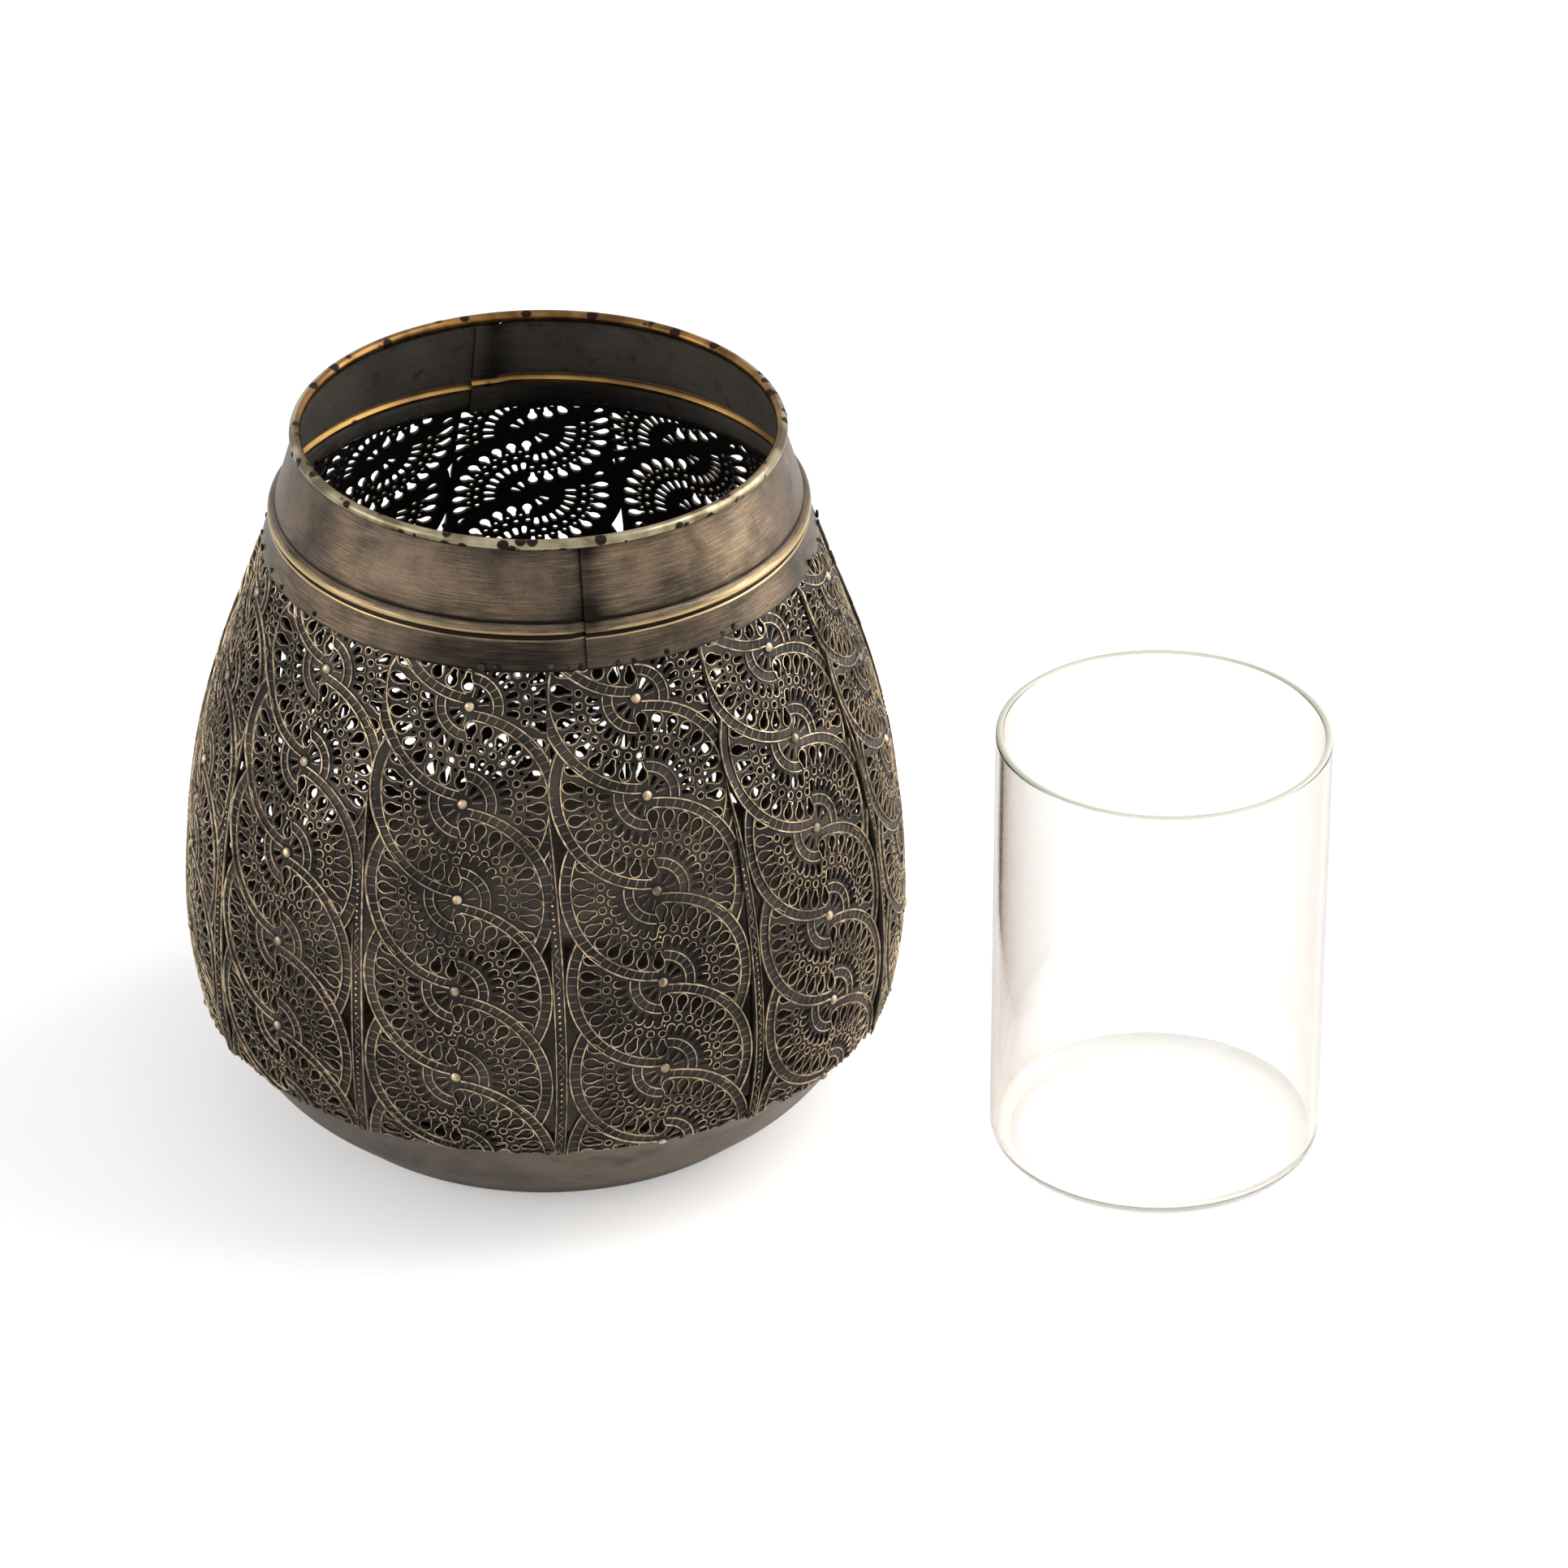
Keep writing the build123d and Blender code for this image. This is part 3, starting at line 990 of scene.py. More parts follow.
def bending_tree() -> bpy.types.NodeTree:
    """Tree that repeats a flat row up a strip, trims it to the strip and bends it round the lantern.

    Returns:
        The tree.
    """
    sizes = ("Row Pitch", "First Row", "Azimuth", "Half Angle", "Shift", "Lap", "Lift", "Flat Top", "Sheet")
    kinds = {"Row": "Geometry", "Side Line": "Object", "Rows": "Int"}
    kinds |= dict.fromkeys(sizes, "Float") | {"Finish": "Material"}
    tree = geometry_tree("bend pierced strip", kinds)
    add = partial(add_node, tree)
    given = add("NodeGroupInput").outputs
    start = add("ShaderNodeCombineXYZ", {"X": given["Shift"], "Y": given["First Row"]})
    pitch = add("ShaderNodeCombineXYZ", {"Y": given["Row Pitch"]})
    line = add(
        "GeometryNodeMeshLine",
        {"Count": given["Rows"], "Start Location": start, "Offset": pitch},
        mode="OFFSET",
    )
    rows = add("GeometryNodeInstanceOnPoints", {"Points": line, "Instance": given["Row"]})
    real = add("GeometryNodeRealizeInstances", {"Geometry": rows})
    flat = add("GeometryNodeMergeByDistance", {"Geometry": real, "Distance": 0.003 * MM})

    # where each point comes to lie on the side line: u across the strip, v up it, h out of it
    side = add("GeometryNodeObjectInfo", {"Object": given["Side Line"]})
    reach = add("GeometryNodeCurveLength", {"Curve": side.outputs["Geometry"]})
    place = add("ShaderNodeSeparateXYZ", {"Vector": add("GeometryNodeInputPosition")})
    u, v, h = place.outputs
    held_v = add("ShaderNodeClamp", {"Value": v, "Min": 0.0, "Max": reach})
    on_side = add(
        "GeometryNodeSampleCurve", {"Curves": side.outputs["Geometry"], "Length": held_v}, mode="LENGTH"
    )
    spot = add("ShaderNodeSeparateXYZ", {"Vector": on_side.outputs["Position"]}).outputs
    way = add("ShaderNodeSeparateXYZ", {"Vector": on_side.outputs["Tangent"]}).outputs

    # the strip ends half its share of the round on one side, and laps past it on the other
    right = add(MATHS, {0: spot["X"], 1: given["Half Angle"]}, operation="MULTIPLY")
    lapped = add(MATHS, {0: right, 1: given["Lap"]}, operation="ADD")
    left = add(MATHS, {0: lapped, 1: -1.0}, operation="MULTIPLY")
    held_u = add("ShaderNodeClamp", {"Value": u, "Min": left, "Max": right})
    asked = add("ShaderNodeCombineXYZ", {"X": u, "Y": v})
    held = add("ShaderNodeCombineXYZ", {"X": held_u, "Y": held_v})
    moved = add("ShaderNodeVectorMath", {0: asked, 1: held}, operation="DISTANCE")
    past = add(MATHS, {0: moved, 1: 0.0005 * MM}, operation="GREATER_THAN")
    outside = add("GeometryNodeFieldOnDomain", {0: past}, data_type="BOOLEAN", domain="POINT")
    trimmed = add(
        "GeometryNodeDeleteGeometry", {"Geometry": flat, "Selection": outside}, domain="FACE", mode="ALL"
    )

    # the lapping edge is lifted over its neighbour, and all of it is pressed flat under the collar
    from_edge = add(MATHS, {0: held_u, 1: left}, operation="SUBTRACT")
    rising = {
        "Value": from_edge,
        "From Min": 1.2 * MM,
        "From Max": 4.0 * MM,
        "To Min": given["Lift"],
        "To Max": 0.0,
    }
    lifting = add(RANGE, rising, interpolation_type="SMOOTHSTEP")
    flat_from = add(MATHS, {0: reach, 1: given["Flat Top"]}, operation="SUBTRACT")
    below = add(MATHS, {0: flat_from, 1: 2.0 * MM}, operation="SUBTRACT")
    fading = {"Value": v, "From Min": below, "From Max": flat_from, "To Min": 1.0, "To Max": 0.12}
    fade = add(RANGE, fading, interpolation_type="SMOOTHSTEP")
    proud = add(MATHS, {0: h, 1: lifting}, operation="ADD")
    out = add(MATHS, {0: proud, 1: fade}, operation="MULTIPLY")

    radius = add(MATHS, {0: out, 1: way["Z"], 2: spot["X"]}, operation="MULTIPLY_ADD")
    behind = add(MATHS, {0: radius, 1: -1.0}, operation="MULTIPLY")
    dip = add(MATHS, {0: out, 1: way["X"]}, operation="MULTIPLY")
    rise = add(MATHS, {0: spot["Z"], 1: dip}, operation="SUBTRACT")
    ahead = add("ShaderNodeCombineXYZ", {"Y": behind, "Z": rise})
    sweep = add(MATHS, {0: held_u, 1: spot["X"]}, operation="DIVIDE")
    azimuth = add(MATHS, {0: given["Azimuth"], 1: sweep}, operation="ADD")
    turned = add("ShaderNodeVectorRotate", {"Vector": ahead, "Angle": azimuth}, rotation_type="Z_AXIS")
    bent = add("GeometryNodeSetPosition", {"Geometry": trimmed, "Position": turned})

    # the sheet gets its thickness inwards; the raised lines stay as they are
    raised = add("GeometryNodeInputNamedAttribute", {"Name": "raised"}, data_type="BOOLEAN")
    apart = add("GeometryNodeSeparateGeometry", {"Geometry": bent, "Selection": raised}, domain="FACE")
    sheet = apart.outputs["Inverted"]
    inwards = add(MATHS, {0: given["Sheet"], 1: -1.0}, operation="MULTIPLY")
    thick = add(
        "GeometryNodeExtrudeMesh",
        {"Mesh": sheet, "Offset Scale": inwards, "Individual": False},
        mode="FACES",
    )
    marked = add(
        "GeometryNodeStoreNamedAttribute",
        {"Geometry": thick, "Selection": thick.outputs["Top"], "Name": "relief", "Value": -1.0},
        data_type="FLOAT",
        domain="POINT",
    )
    back = add("GeometryNodeFlipFaces", {"Mesh": marked})
    both = add("GeometryNodeJoinGeometry", {"Geometry": [sheet, back]})
    welded = add("GeometryNodeMergeByDistance", {"Geometry": both, "Distance": 0.001 * MM})
    whole = add("GeometryNodeJoinGeometry", {"Geometry": [welded, apart]})
    plain = add("GeometryNodeRealizeInstances", {"Geometry": whole})
    dressed = add("GeometryNodeSetMaterial", {"Geometry": plain, "Material": given["Finish"]})
    add("NodeGroupOutput", {0: dressed})
    return tree


def tacking_tree() -> bpy.types.NodeTree:
    """Tree that drops solder tacks along a path, some left out and no two alike.

    Returns:
        The tree.
    """
    sizes = ("Spacing", "Share", "Smallest", "Largest", "Stray")
    kinds = {"Path": "Geometry"} | dict.fromkeys(sizes, "Float") | {"Seed": "Int", "Finish": "Material"}
    tree = geometry_tree("drop solder tacks", kinds)
    add = partial(add_node, tree)
    given = add("NodeGroupInput").outputs
    line = add("GeometryNodeMeshToCurve", {"Mesh": given["Path"]})
    spots = add("GeometryNodeCurveToPoints", {"Curve": line, "Length": given["Spacing"]}, mode="LENGTH")
    kept = add("FunctionNodeRandomValue", {6: given["Share"], 8: given["Seed"]}, data_type="BOOLEAN")
    size = add(
        "FunctionNodeRandomValue",
        {2: given["Smallest"], 3: given["Largest"], 8: given["Seed"]},
        data_type="FLOAT",
    )
    way = add(
        "FunctionNodeRandomValue", {0: (-1.0, -1.0, -1.0), 8: given["Seed"]}, data_type="FLOAT_VECTOR"
    )
    stray = add("ShaderNodeVectorMath", {0: way, "Scale": given["Stray"]}, operation="SCALE")
    strayed = add("GeometryNodeSetPosition", {"Geometry": spots, "Offset": stray})
    outwards = add(
        "ShaderNodeVectorMath",
        {0: add("GeometryNodeInputPosition"), 1: (1.0, 1.0, 0.0)},
        operation="MULTIPLY",
    )
    facing = add("FunctionNodeAlignRotationToVector", {"Vector": outwards}, axis="Z")
    low = add(MATHS, {0: size, 1: 0.36}, operation="MULTIPLY")
    squat = add("ShaderNodeCombineXYZ", {"X": size, "Y": size, "Z": low})
    blob = add("GeometryNodeMeshUVSphere", {"Segments": 8, "Rings": 5, "Radius": 1.0})
    dropped = add(
        "GeometryNodeInstanceOnPoints",
        {"Points": strayed, "Selection": kept, "Instance": blob, "Rotation": facing, "Scale": squat},
    )
    real = add("GeometryNodeRealizeInstances", {"Geometry": dropped})
    dressed = add("GeometryNodeSetMaterial", {"Geometry": real, "Material": given["Finish"]})
    add("NodeGroupOutput", {0: dressed})
    return tree


# ---- sub-assemblies -------------------------------------------------------------------------------


@dataclass
class PiercedStrips:
    """The pierced strips that make the wall of the lantern, one beside the next."""

    count: int = 11
    sheet: float = 0.6
    belly_radius: float = 85.5
    belly_height: float = 52.7
    foot_tuck: float = 2.9
    foot_height: float = 29.1
    shoulder_angle: float = 19.5
    shoulder_radius: float = 63.91
    collar_height: float = 147.1
    collar_lap: float = 1.6
    lap: float = 0.7
    lift: float = 0.75
    flat_top: float = 2.8
    pattern_shift: float = 0.9
    first_row: float = -0.45
    row_count: int = 7
    sharp_angle: float = 62.0
    row_slips: tuple[float, ...] = (0.0, 0.6, -0.4, 0.8, -0.7, 0.3, -0.9, 0.5, 0.2, -1.2, -0.6)

    def side_points(self) -> list[Flat]:
        """Side view of the strips' outside, (radius, height), from the foot up."""
        slope = math.radians(self.shoulder_angle)
        over = self.shoulder_radius + math.tan(slope) * (
            self.collar_height - self.belly_height
        ) - self.belly_radius
        upper = over / (1 / math.cos(slope) - 1)
        drop = self.belly_height - self.foot_height
        lower = (drop**2 + self.foot_tuck**2) / (2 * self.foot_tuck)
        bend = math.atan2(drop, lower - self.foot_tuck)
        points = [
            (lower, -bend * (1 - k / 12)) for k in range(12)
        ] + [(upper, slope * k / 40) for k in range(41)]
        line = [
            (self.belly_radius - r * (1 - math.cos(a)), self.belly_height + r * math.sin(a))
            for r, a in points
        ]
        rest = self.collar_height + self.collar_lap - line[-1][1]
        return [*line, (line[-1][0] - rest * math.tan(slope), line[-1][1] + rest)]

    def side_line(self) -> bpy.types.Object:
        """Make the strips' side view as a curve: radius along X, height along Z."""
        line = self.side_points()
        curve = bpy.data.curves.new("side_line", "CURVE")
        curve.dimensions = "3D"
        spline = curve.splines.new("POLY")
        spline.points.add(len(line) - 1)
        for point, (r, z) in zip(spline.points, line):
            point.co = (r * MM, 0.0, z * MM, 1.0)
        side = bpy.data.objects.new("side_line", curve)
        bpy.context.collection.objects.link(side)
        return side

    @staticmethod
    def azimuth(node: bpy.types.Object) -> float:
        """Azimuth of the middle of a packed strip, in radians."""
        middle = sum((v.co for v in node.data.vertices), Vector())
        return math.atan2(middle.x, -middle.y)

    def build(self, nodes: dict[str, bpy.types.Object]) -> list[bpy.types.Object]:
        """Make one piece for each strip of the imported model.

        Args:
            nodes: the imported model's objects.

        Returns:
            The pieces.
        """
        row = FiligreePattern().build()
        side = self.side_line()
        tree = bending_tree()
        finish = BlackenedStrip().material()
        pieces = []
        for number in range(1, self.count + 1):
            node = f"filigree_strip_{number:02d}"
            piece = grow(
                f"pierced_strip_{number:02d}",
                tree,
                row,
                {
                    "Side Line": side,
                    "Rows": self.row_count,
                    "Row Pitch": FiligreePattern.pitch * MM,
                    "First Row": (self.first_row + self.row_slips[number - 1]) * MM,
                    "Azimuth": self.azimuth(nodes[node]),
                    "Half Angle": math.pi / self.count,
                    "Shift": self.pattern_shift * MM,
                    "Lap": self.lap * MM,
                    "Lift": self.lift * MM,
                    "Flat Top": self.flat_top * MM,
                    "Sheet": self.sheet * MM,
                    "Finish": finish,
                },
                self.sharp_angle,
            )
            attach(piece, Body.LANTERN.value)
            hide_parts(node)
            pieces.append(piece)
        bpy.data.objects.remove(side)
        return pieces


@dataclass
class Collar:
    """Two half bands with a swaged bead, each tucked behind the other at one end."""

    lower_radius: float = 64.9
    lower_height: float = 147.1
    height: float = 26.9
    lean: float = 16.8
    sheet: float = 0.8
    bead_rise: float = 9.4
    seam_azimuth: float = 11.0
    tucked_angle: float = 6.0
    tuck_share: float = 1.5
    seam_gap: float = 0.12
    # band on the inner bead's upward flank, whose gold is partly painted highlight
    inner_highlight_band: Flat = (-2.0, -0.1)
    bead_drift: float = 0.95
    bead_half: float = 2.4
    drift_fade: float = 4.0
    # how dark, its middle and width in degrees from the seam, and the rise over which it fades
    # below the bead a broad painted shade; above it a narrow scorch along the seam and a broad painted
    # shade that fades upwards from the bead
    painted_shade_below: tuple[float, ...] = (0.33, -17.0, 24.0, 0.0)
    scorch_and_shade_above: tuple[tuple[float, ...], ...] = ((0.32, 1.0, 3.4, 0.0), (0.24, -12.0, 38.0, 8.0))

    def point(self, rise: float, proud: float) -> Flat:
        """Place a point on the outside of the collar.

        Args:
            rise: how far it is up the sheet from the lower edge.
            proud: how far it stands out of the sheet.

        Returns:
            Its radius and height.
        """
        a = math.radians(self.lean)
        return (
            self.lower_radius - rise * math.sin(a) + proud * math.cos(a),
            self.lower_height + rise * math.cos(a) + proud * math.sin(a),
        )

    def outside(self) -> list[tuple[Flat, float, float]]:
        """Side view of the outside from the lower edge up, with how rubbed it is outside and inside."""
        length = self.height / math.cos(math.radians(self.lean))
        line = [(0.0, 0.0, 0.1, 0.3), (0.6, 0.06, 0.46, 0.34), (2.5, 0.0, 0.42, 0.38)]
        line += [
            (self.bead_rise + rise, proud, outer, inner)
            for rise, proud, outer, inner in (
                (-4.6, 0.0, 0.44, 0.4),
                (-2.5, 0.0, 0.5, 0.4),
                (-2.1, 0.14, 1.0, 0.5),
                (-1.85, 0.06, 0.7, 0.5),
                (-1.65, -0.2, 0.0, 0.4),
                (-1.2, -0.28, 0.0, 0.5),
                (-0.95, 0.2, 0.1, 0.9),
                (-0.7, 0.75, 0.85, 1.0),
                (-0.3, 1.02, 1.02, 1.0),
                (0.2, 1.08, 0.84, 0.8),
                (0.8, 0.92, 0.68, 0.5),
                (1.35, 0.6, 0.6, 0.3),
                (1.75, 0.2, 0.5, 0.3),
                (1.95, -0.12, 0.1, 0.4),
                (2.3, -0.05, 0.2, 0.5),
                (3.0, 0.0, 0.44, 0.5),
            )
        ]
        line += [(length * k / 8, 0.0, 0.54, 0.5) for k in (5, 6, 7)] + [(length, 0.0, 0.3, 0.4)]
        return [(self.point(rise, proud), outer, inner) for rise, proud, outer, inner in line]

    def build(self) -> list[bpy.types.Object]:
        """Make both bands.

        Returns:
            The pieces.
        """
        outside = BrushedAgedBrass(
            "rolled_brass_browned_and_brushed",
            dark="4a423b",
            light="746455",
            streak="b29a7f",
            gold="84715b",
            slant=13.0,
            streak_length=9.0,
        ).material()
        inside = BrushedAgedBrass(
            "brass_inside_left_brown",
            dark="64605b",
            light="77736d",
            streak="837d76",
            gold="776f61",
            ridge="c9a865",
            stain="4f2b28",
            stain_size=4.5,
            stain_share=0.3,
            metallic=0.45,
        ).material()
        # the inner bead's upward flank, where light from above falls, gets a bright gold: partly the brass,
        # partly painted highlight
        bead = SpottedBrass(
            "brass_inner_bead_gold_and_painted_highlight",
            bright="a8844c",
            tarnished="73593a",
            burnt="4a3a26",
            tarnish_size=20.0,
            spot_spacing=9.0,
            spot_radius=1.6,
            roughness=0.34,
        ).material()
        line = self.outside()
        outline = sheet_outline([spot for spot, _, _ in line], self.sheet)
        rub = [outer for _, outer, _ in line] + [inner for _, _, inner in reversed(line)]
        pieces = []
        for index, node in enumerate(("collar_band_right", "collar_band_left")):
            piece = Lathe(
                f"swaged_{node}",
                outline,
                start=self.seam_azimuth + 180 * index,
                sweep=180 + self.tucked_angle,
                steps=124,
                tuck=self.sheet + self.seam_gap,
                tuck_angle=self.tucked_angle * self.tuck_share,
                rub=rub,
            ).build()
            self.dress(piece, [outside, inside, bead])
            self.scorch_and_shade(piece)
            self.skew_bead(piece, (1, -1)[index] * self.bead_drift)
            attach(piece, Body.LANTERN.value)
            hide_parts(node)
            pieces.append(piece)
        return pieces

    def scorch_and_shade(self, piece: bpy.types.Object) -> None:
        """Darken a band beside each seam: a narrow torch scorch along the seam above the bead, and broad
        painted shade below the bead and just above it.

        Args:
            piece: the band, with how rubbed each point is.
        """
        rub = piece.data.attributes["rub"].data
        bead = self.point(self.bead_rise, 0.0)[1] * MM
        for point, value in zip(piece.data.vertices, rub):
            azimuth = math.degrees(math.atan2(point.co.x, -point.co.y))
            over = (point.co.z - bead) / MM
            for seam in (self.seam_azimuth, self.seam_azimuth - 180):
                off = (azimuth - seam + 180) % 360 - 180
                scorches_and_shades = (self.painted_shade_below,) if over < 0 else self.scorch_and_shade_above
                # each mark lowers the rub, which darkens the band: the broad ones are painted shade, the
                # narrow one a scorch
                for depth, middle, width, fade in scorches_and_shades:
                    burnt = depth * math.exp(-(((off - middle) / width) ** 2))
                    value.value -= burnt * math.exp(-over / fade) if fade else burnt

    def skew_bead(self, piece: bpy.types.Object, drift: float) -> None:
        """Let the bead of a band wander up or down the sheet, most of all at the seam at the back.

        Args:
            piece: the band.
            drift: how far the bead is off at the back, up the sheet.
        """
        lean = math.radians(self.lean)
        bead = self.point(self.bead_rise, 0.0)[1]
        for point in piece.data.vertices:
            azimuth = math.degrees(math.atan2(point.co.x, -point.co.y))
            turned = abs((azimuth - self.seam_azimuth + 180) % 360 - 180) / 180
            near = max(0.0, 1 - max(0.0, abs(point.co.z / MM - bead) - self.bead_half) / self.drift_fade)
            shift = drift * turned**2 * near
            radius = math.hypot(point.co.x, point.co.y) / MM
            share = 1 - shift * math.sin(lean) / radius
            point.co = (point.co.x * share, point.co.y * share, point.co.z + shift * math.cos(lean) * MM)

    def dress(self, piece: bpy.types.Object, finishes: list[bpy.types.Material]) -> None:
        """Give a band its finishes.

        Args:
            piece: the band.
            finishes: those of its outside, of its inside, and of the inner bead's upward flank, whose
                bright gold is partly brass and partly painted highlight.
        """
        for finish in finishes:
            piece.data.materials.append(finish)
        low, high = (self.point(self.bead_rise + rise, 0.0)[1] * MM for rise in self.inner_highlight_band)
        for face in piece.data.polygons:
            inwards = face.normal.x * face.center.x + face.normal.y * face.center.y < 0
            face.material_index = int(inwards) + int(inwards and low < face.center.z < high)


@dataclass
class RimWire:
    """Round wire soldered on the mouth, bright outside, with a darker brown inward half: painted shade for
    the dark inside of the lantern that it faces.
    """

    diameter: float = 2.7
    inner_shade_from: float = 0.1

    def build(self) -> bpy.types.Object:
        """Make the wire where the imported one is.

        Returns:
            The piece.
        """
        low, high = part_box("rim_wire")
        middle = high.x / MM - self.diameter / 2 / math.cos(math.pi / 6)
        rise = low.z / MM + self.diameter / 2
        ring = [(middle + x, rise + y) for x, y in (polar(22.5 * k, self.diameter / 2) for k in range(16))]
        piece = Lathe("soldered_rim_wire", ring, steps=256, sharp_angle=60).build()
        outside = SpottedBrass(
            "drawn_brass_wire_soldered",
            bright="ada285",
            tarnished="6c614b",
            burnt="2c2320",
            tarnish_size=9.0,
            spot_spacing=4.4,
            spot_radius=1.55,
            roughness=0.26,
        )
        inside = SpottedBrass(
            "drawn_brass_wire_inner_painted_shade",
            bright="8f6a3c",
            tarnished="5c4229",
            burnt="2a1e1a",
            tarnish_size=9.0,
            spot_spacing=4.4,
            spot_radius=1.55,
            roughness=0.3,
        )
        for finish in (outside, inside):
            piece.data.materials.append(finish.material())
        # the inward-facing faces take the darker brown finish: painted shade
        for face in piece.data.polygons:
            reach = math.hypot(face.center.x, face.center.y)
            outwards = (face.normal.x * face.center.x + face.normal.y * face.center.y) / reach
            face.material_index = int(outwards < self.inner_shade_from)
        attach(piece, Body.LANTERN.value)
        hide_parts("rim_wire")
        return piece


@dataclass
class Pan:
    """Spun pan under the strips, with the disc that the glass cup stands on in use."""

    sheet: float = 0.8
    floor_radius: float = 56.0
    knee: Flat = (69.6, 12.0)
    edge: Flat = (81.4, 29.1)
    rim: Flat = (81.3, 34.0)
    disc_radius: float = 51.0
    inside_tone: float = 0.26

    def build(self) -> list[bpy.types.Object]:
        """Make the pan and its disc.

        Returns:
            The pieces.
        """
        brass = BrushedAgedBrass(
            "spun_brass_browned_and_brushed",
            dark="665c54",
            light="8b7f75",
            streak="b3a290",
            gold="857866",
            slant=0.0,
            streak_length=40.0,
        ).material()
        line = rounded(
            [
                (0.0, 0.0, 0.0),
                (self.floor_radius, 0.0, 9.0),
                (*self.knee, 30.0),
                (*self.edge, 12.0),
                (*self.rim, 0.0),
            ], 8
        )
        # the inside is set darker than the outside
        rub = [0.5] * len(line) + [self.inside_tone] * len(line)
        pan = Lathe("spun_pan", sheet_outline(line, self.sheet), steps=160, rub=rub).build()
        disc_line = rounded(
            [(0.0, 0.8, 0.0), (self.disc_radius, 0.8, 0.3), (self.disc_radius, 1.6, 0.3), (0.0, 1.6, 0.0)],
            3,
        )
        disc = Lathe("pressed_floor_disc", disc_line, steps=96).build()
        for piece, node in ((pan, "base_pan"), (disc, "floor_disc")):
            piece.data.materials.append(brass)
            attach(piece, Body.LANTERN.value)
            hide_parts(node)
        return [pan, disc]


@dataclass
class GlassCup:
    """Blown glass cup that stands beside the lantern."""

    wall: float = 1.75
    floor: float = 2.2
    foot_line: float = 3.8
    rim_line: float = 0.4

    def build(self) -> bpy.types.Object:
        """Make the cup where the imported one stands.

        Returns:
            The piece.
        """
        low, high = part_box("glass_cup")
        centre = (low + high) / 2 / MM
        radius, height = (high.x - low.x) / 2 / MM, high.z / MM
        bore = radius - self.wall
        outline = rounded(
            [
                (0.0, 0.25, 0.0),
                (radius - 7.0, 0.0, 6.0),
                (radius, 0.0, 4.6),
                (radius, height - 1.0, 1.6),
                (radius - 0.05, height, self.wall * 0.46),
                (bore + 0.05, height, self.wall * 0.46),
                (bore, height - 1.0, 1.6),
                (bore, self.floor, 3.4),
                (0.0, self.floor, 0.0),
            ],
            14,
        )
        piece = Lathe(
            "blown_glass_cup", outline, steps=192, centre=(centre.x, centre.y), sharp_angle=70
        ).build()
        piece.data.materials.append(ClearGlass().material())
        piece.data.materials.append(GlassEdgePaintedLight().material())
        foot = GlassEdgePaintedLight(
            "borosilicate_glass_foot_painted_light", glow="fefefb", shade="f4f3ec", shadow="fbf9f7", clearness=0.35
        )
        piece.data.materials.append(foot.material())
        # the rim and the foot take the paler, mostly opaque edge finishes: painted light in place of the
        # light gathered in the rim and seen through the foot
        for face in piece.data.polygons:
            rise, out = face.center.z / MM, math.hypot(
                face.center.x / MM - centre.x, face.center.y / MM - centre.y
            )
            if rise > height - self.rim_line:
                face.material_index = 1
            elif rise < self.foot_line and out > radius - self.wall / 2 - (self.foot_line - rise):
                face.material_index = 2
        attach(piece, Body.GLASS.value)
        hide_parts("glass_cup")
        return piece


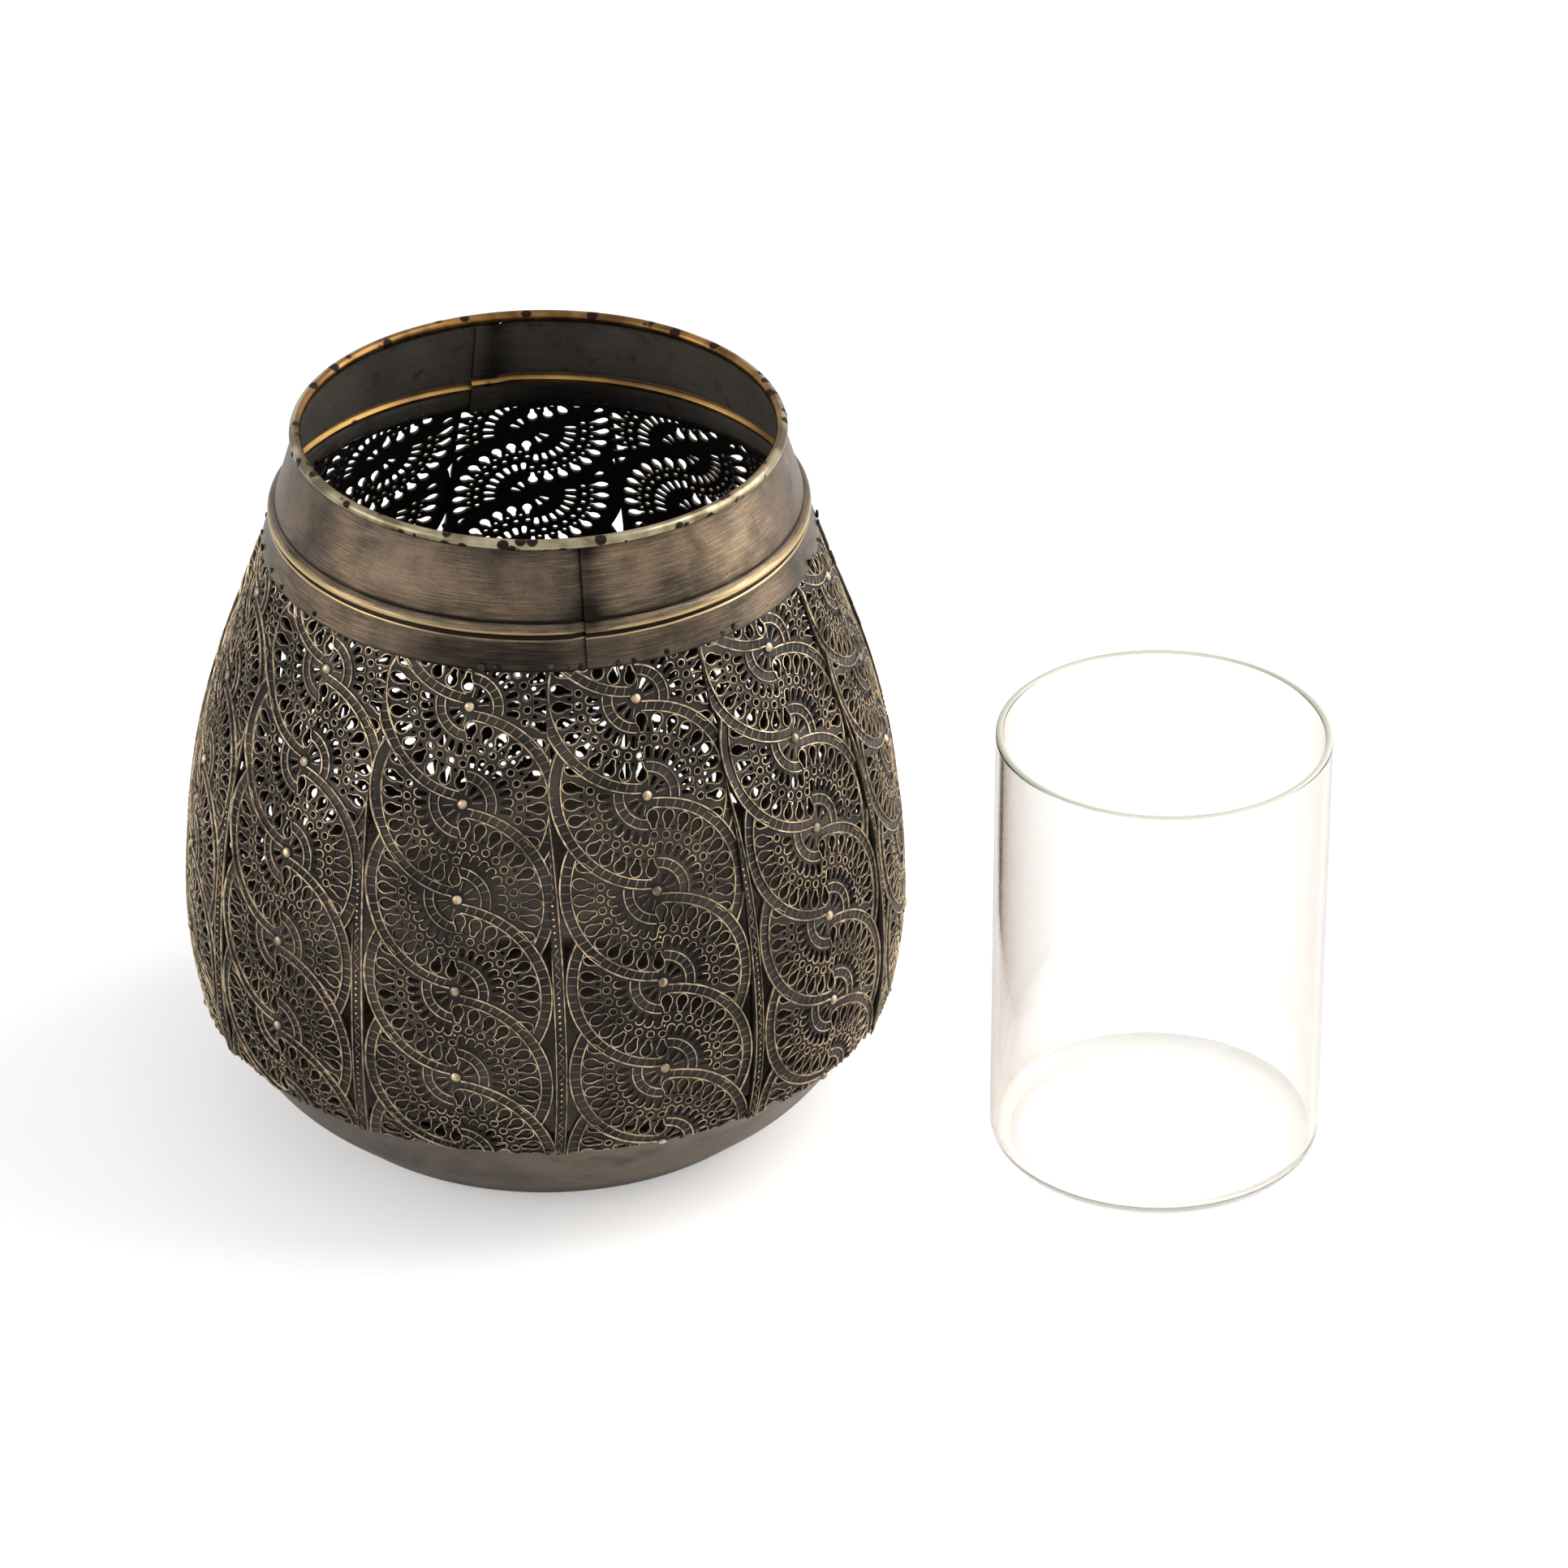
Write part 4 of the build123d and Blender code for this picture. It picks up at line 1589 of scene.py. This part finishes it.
@dataclass
class SolderTacks:
    """Small beads of solder along the seams, the collar, the mouth and the foot of the strips."""

    collar_edge: Flat = (64.7, 148.0)
    mouth: Flat = (57.5, 175.0)
    foot: Flat = (82.9, 29.6)
    seam_side: float = 0.25
    turns: int = 180
    stray: float = 0.35
    sharp_angle: float = 80.0
    # spacing, share that is kept, smallest and largest radius: collar, mouth, foot, then seams
    tacks: tuple[tuple[float, ...], ...] = (
        (3.9, 0.42, 0.6, 1.15),
        (6.2, 0.4, 0.6, 0.95),
        (4.0, 0.4, 0.4, 0.8),
        (8.0, 0.5, 0.5, 0.95),
    )

    def round_path(self, circle: Flat) -> list[Spot]:
        """Points of a level circle, (x, y, height), given its radius and height."""
        radius, height = circle
        return [(*polar(360 * k / self.turns, radius), height) for k in range(self.turns + 1)]

    def seam_path(self, side: list[Flat], azimuth: float) -> list[Spot]:
        """Points up a seam between two strips, at an azimuth in radians."""
        return [
            ((r + self.seam_side) * math.sin(azimuth), -(r + self.seam_side) * math.cos(azimuth), z)
            for r, z in side[2:-1]
        ]

    def build(self, side: list[Flat], seams: list[float]) -> bpy.types.Object:
        """Drop the tacks.

        Args:
            side: side view of the strips.
            seams: azimuth of each seam between two strips, in radians.

        Returns:
            The piece.
        """
        solder = SpottedBrass(
            "solder_burnt_by_the_torch",
            bright="4e4740",
            tarnished="2e2c2b",
            burnt="222327",
            tarnish_size=12.0,
            spot_spacing=4.0,
            spot_radius=1.8,
            roughness=0.42,
        ).material()
        tree = tacking_tree()
        rounds = [[self.round_path(circle)] for circle in (self.collar_edge, self.mouth, self.foot)]
        runs = [*rounds, [self.seam_path(side, seam) for seam in seams]]
        made = []
        for seed, (paths, sizes) in enumerate(zip(runs, self.tacks)):
            spacing, share, smallest, largest = sizes
            spots = [tuple(c * MM for c in spot) for path in paths for spot in path]
            ends = np.cumsum([0] + [len(path) for path in paths])
            edges = [(i, i + 1) for a, b in zip(ends, ends[1:]) for i in range(int(a), int(b) - 1)]
            mesh = bpy.data.meshes.new("tack_path")
            mesh.from_pydata(spots, edges, [])
            values = {
                "Spacing": spacing * MM, "Share": share, "Smallest": smallest * MM, "Largest": largest * MM
            }
            values |= {"Stray": self.stray * MM, "Seed": seed, "Finish": solder}
            made.append(grow(f"tacks_{seed}", tree, mesh, values, self.sharp_angle))
        bm = bmesh.new()
        for part in made:
            bm.from_mesh(part.data)
            bpy.data.objects.remove(part)
        whole = bpy.data.meshes.new("solder_tacks")
        bm.to_mesh(whole)
        bm.free()
        whole.materials.append(solder)
        piece = finish_object("solder_tacks", whole, self.sharp_angle)
        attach(piece, Body.LANTERN.value)
        return piece


# ---- studio -----------------------------------------------------------------------------------------


@dataclass
class Studio:
    """White table, soft lamps and the camera."""

    pitch: float = 30.6
    distance: float = 1926.1
    lens: float = 186.34
    farthest: float = 100.0
    target: tuple[float, float, float] = (56.8, 0.0, 79.5)
    ambient: float = 0.62
    lamp_power: float = 14.0
    lit_spot: Spot = (0.05, 0.0, 0.08)
    table_half: float = 9.0
    table_glow: float = 0.35
    table_glow_through_glass: float = 0.22

    def build(self) -> None:
        """Make the camera, the lamps, the table and the world."""
        camera = bpy.data.objects.new("camera", bpy.data.cameras.new("camera"))
        bpy.context.collection.objects.link(camera)
        p = math.radians(self.pitch)
        x, _, z = self.target
        camera.location = Vector((x, -math.cos(p) * self.distance, z + math.sin(p) * self.distance)) * MM
        camera.rotation_euler = Euler((math.pi / 2 - p, 0.0, 0.0))
        camera.data.lens = self.lens
        camera.data.clip_end = self.farthest
        bpy.context.scene.camera = camera
        bpy.context.scene.view_settings.view_transform = "Standard"
        self.lamps()
        self.table()
        self.world()

    def lamps(self) -> None:
        """Hang a wide soft lamp above, right of the middle, and weaker ones at both sides."""
        for name, place, size, share in (
            ("soft_key", (1.15, 0.25, 1.2), 1.2, 1.15),
            ("soft_fill", (-1.3, -0.45, 0.6), 1.0, 0.44),
            ("soft_side", (1.35, 0.15, 0.35), 0.8, 0.42),
        ):
            lamp = bpy.data.objects.new(name, bpy.data.lights.new(name, "AREA"))
            lamp.data.energy = self.lamp_power * share
            lamp.data.size = size
            lamp.location = place
            lamp.rotation_euler = (
                Vector(self.lit_spot) - lamp.location
            ).to_track_quat("-Z", "Y").to_euler()
            bpy.context.collection.objects.link(lamp)

    def table(self) -> None:
        """Lay the pale table, white to the camera where no shadow falls on it."""
        mesh = bpy.data.meshes.new("table")
        corners = [
            (x * self.table_half, y * self.table_half, 0.0) for x, y in ((-1, -1), (1, -1), (1, 1), (-1, 1))
        ]
        mesh.from_pydata(corners, [], [(0, 1, 2, 3)])
        table = bpy.data.objects.new("table", mesh)
        bpy.context.collection.objects.link(table)
        material, tree, shader = start_finish("white_paper")
        add = partial(add_node, tree)
        rays = add("ShaderNodeLightPath").outputs
        direct = add(MATHS, {0: rays["Is Camera Ray"], 1: self.table_glow}, operation="MULTIPLY")
        passed = {0: rays["Is Transmission Ray"], 1: self.table_glow_through_glass, 2: direct}
        strength = add(MATHS, passed, operation="MULTIPLY_ADD")
        feed(tree, shader, {"Base Color": "f4f3f2", "Roughness": 0.9, "Specular IOR Level": 0.0})
        feed(tree, shader, {"Emission Color": "ffffff", "Emission Strength": strength})
        mesh.materials.append(material)

    def world(self) -> None:
        """Make the world white to the camera, metal and glass, and a soft light to the rest."""
        world = bpy.data.worlds.new("studio")
        world.use_nodes = True
        bpy.context.scene.world = world
        tree = world.node_tree
        add = partial(add_node, tree)
        rays = add("ShaderNodeLightPath").outputs
        shiny = add(MATHS, {0: rays["Is Glossy Ray"], 1: rays["Is Transmission Ray"]}, operation="MAXIMUM")
        seen = add(MATHS, {0: shiny, 1: rays["Is Camera Ray"]}, operation="MAXIMUM")
        level = add(RANGE, {"Value": seen, "To Min": self.ambient, "To Max": 1.0})
        feed(tree, tree.nodes["Background"], {"Color": "ffffff", "Strength": level})


def main() -> None:
    """Build the sub-assemblies in order and report each piece."""
    logging.basicConfig(level=logging.INFO, format="%(name)s: %(message)s")
    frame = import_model()
    Studio().build()
    nodes = frame["nodes"]
    strips = PiercedStrips()
    half = math.pi / strips.count
    seams = [
        strips.azimuth(node) - half for name, node in nodes.items() if name.startswith("filigree_strip")
    ]
    pieces = [
        *strips.build(nodes),
        *Collar().build(),
        RimWire().build(),
        *Pan().build(),
        SolderTacks().build(strips.side_points(), seams),
        GlassCup().build(),
    ]
    for piece in pieces:
        log.info("%s: %d triangles", piece.name, sum(len(p.vertices) - 2 for p in piece.data.polygons))


if __name__ == "__main__":
    main()
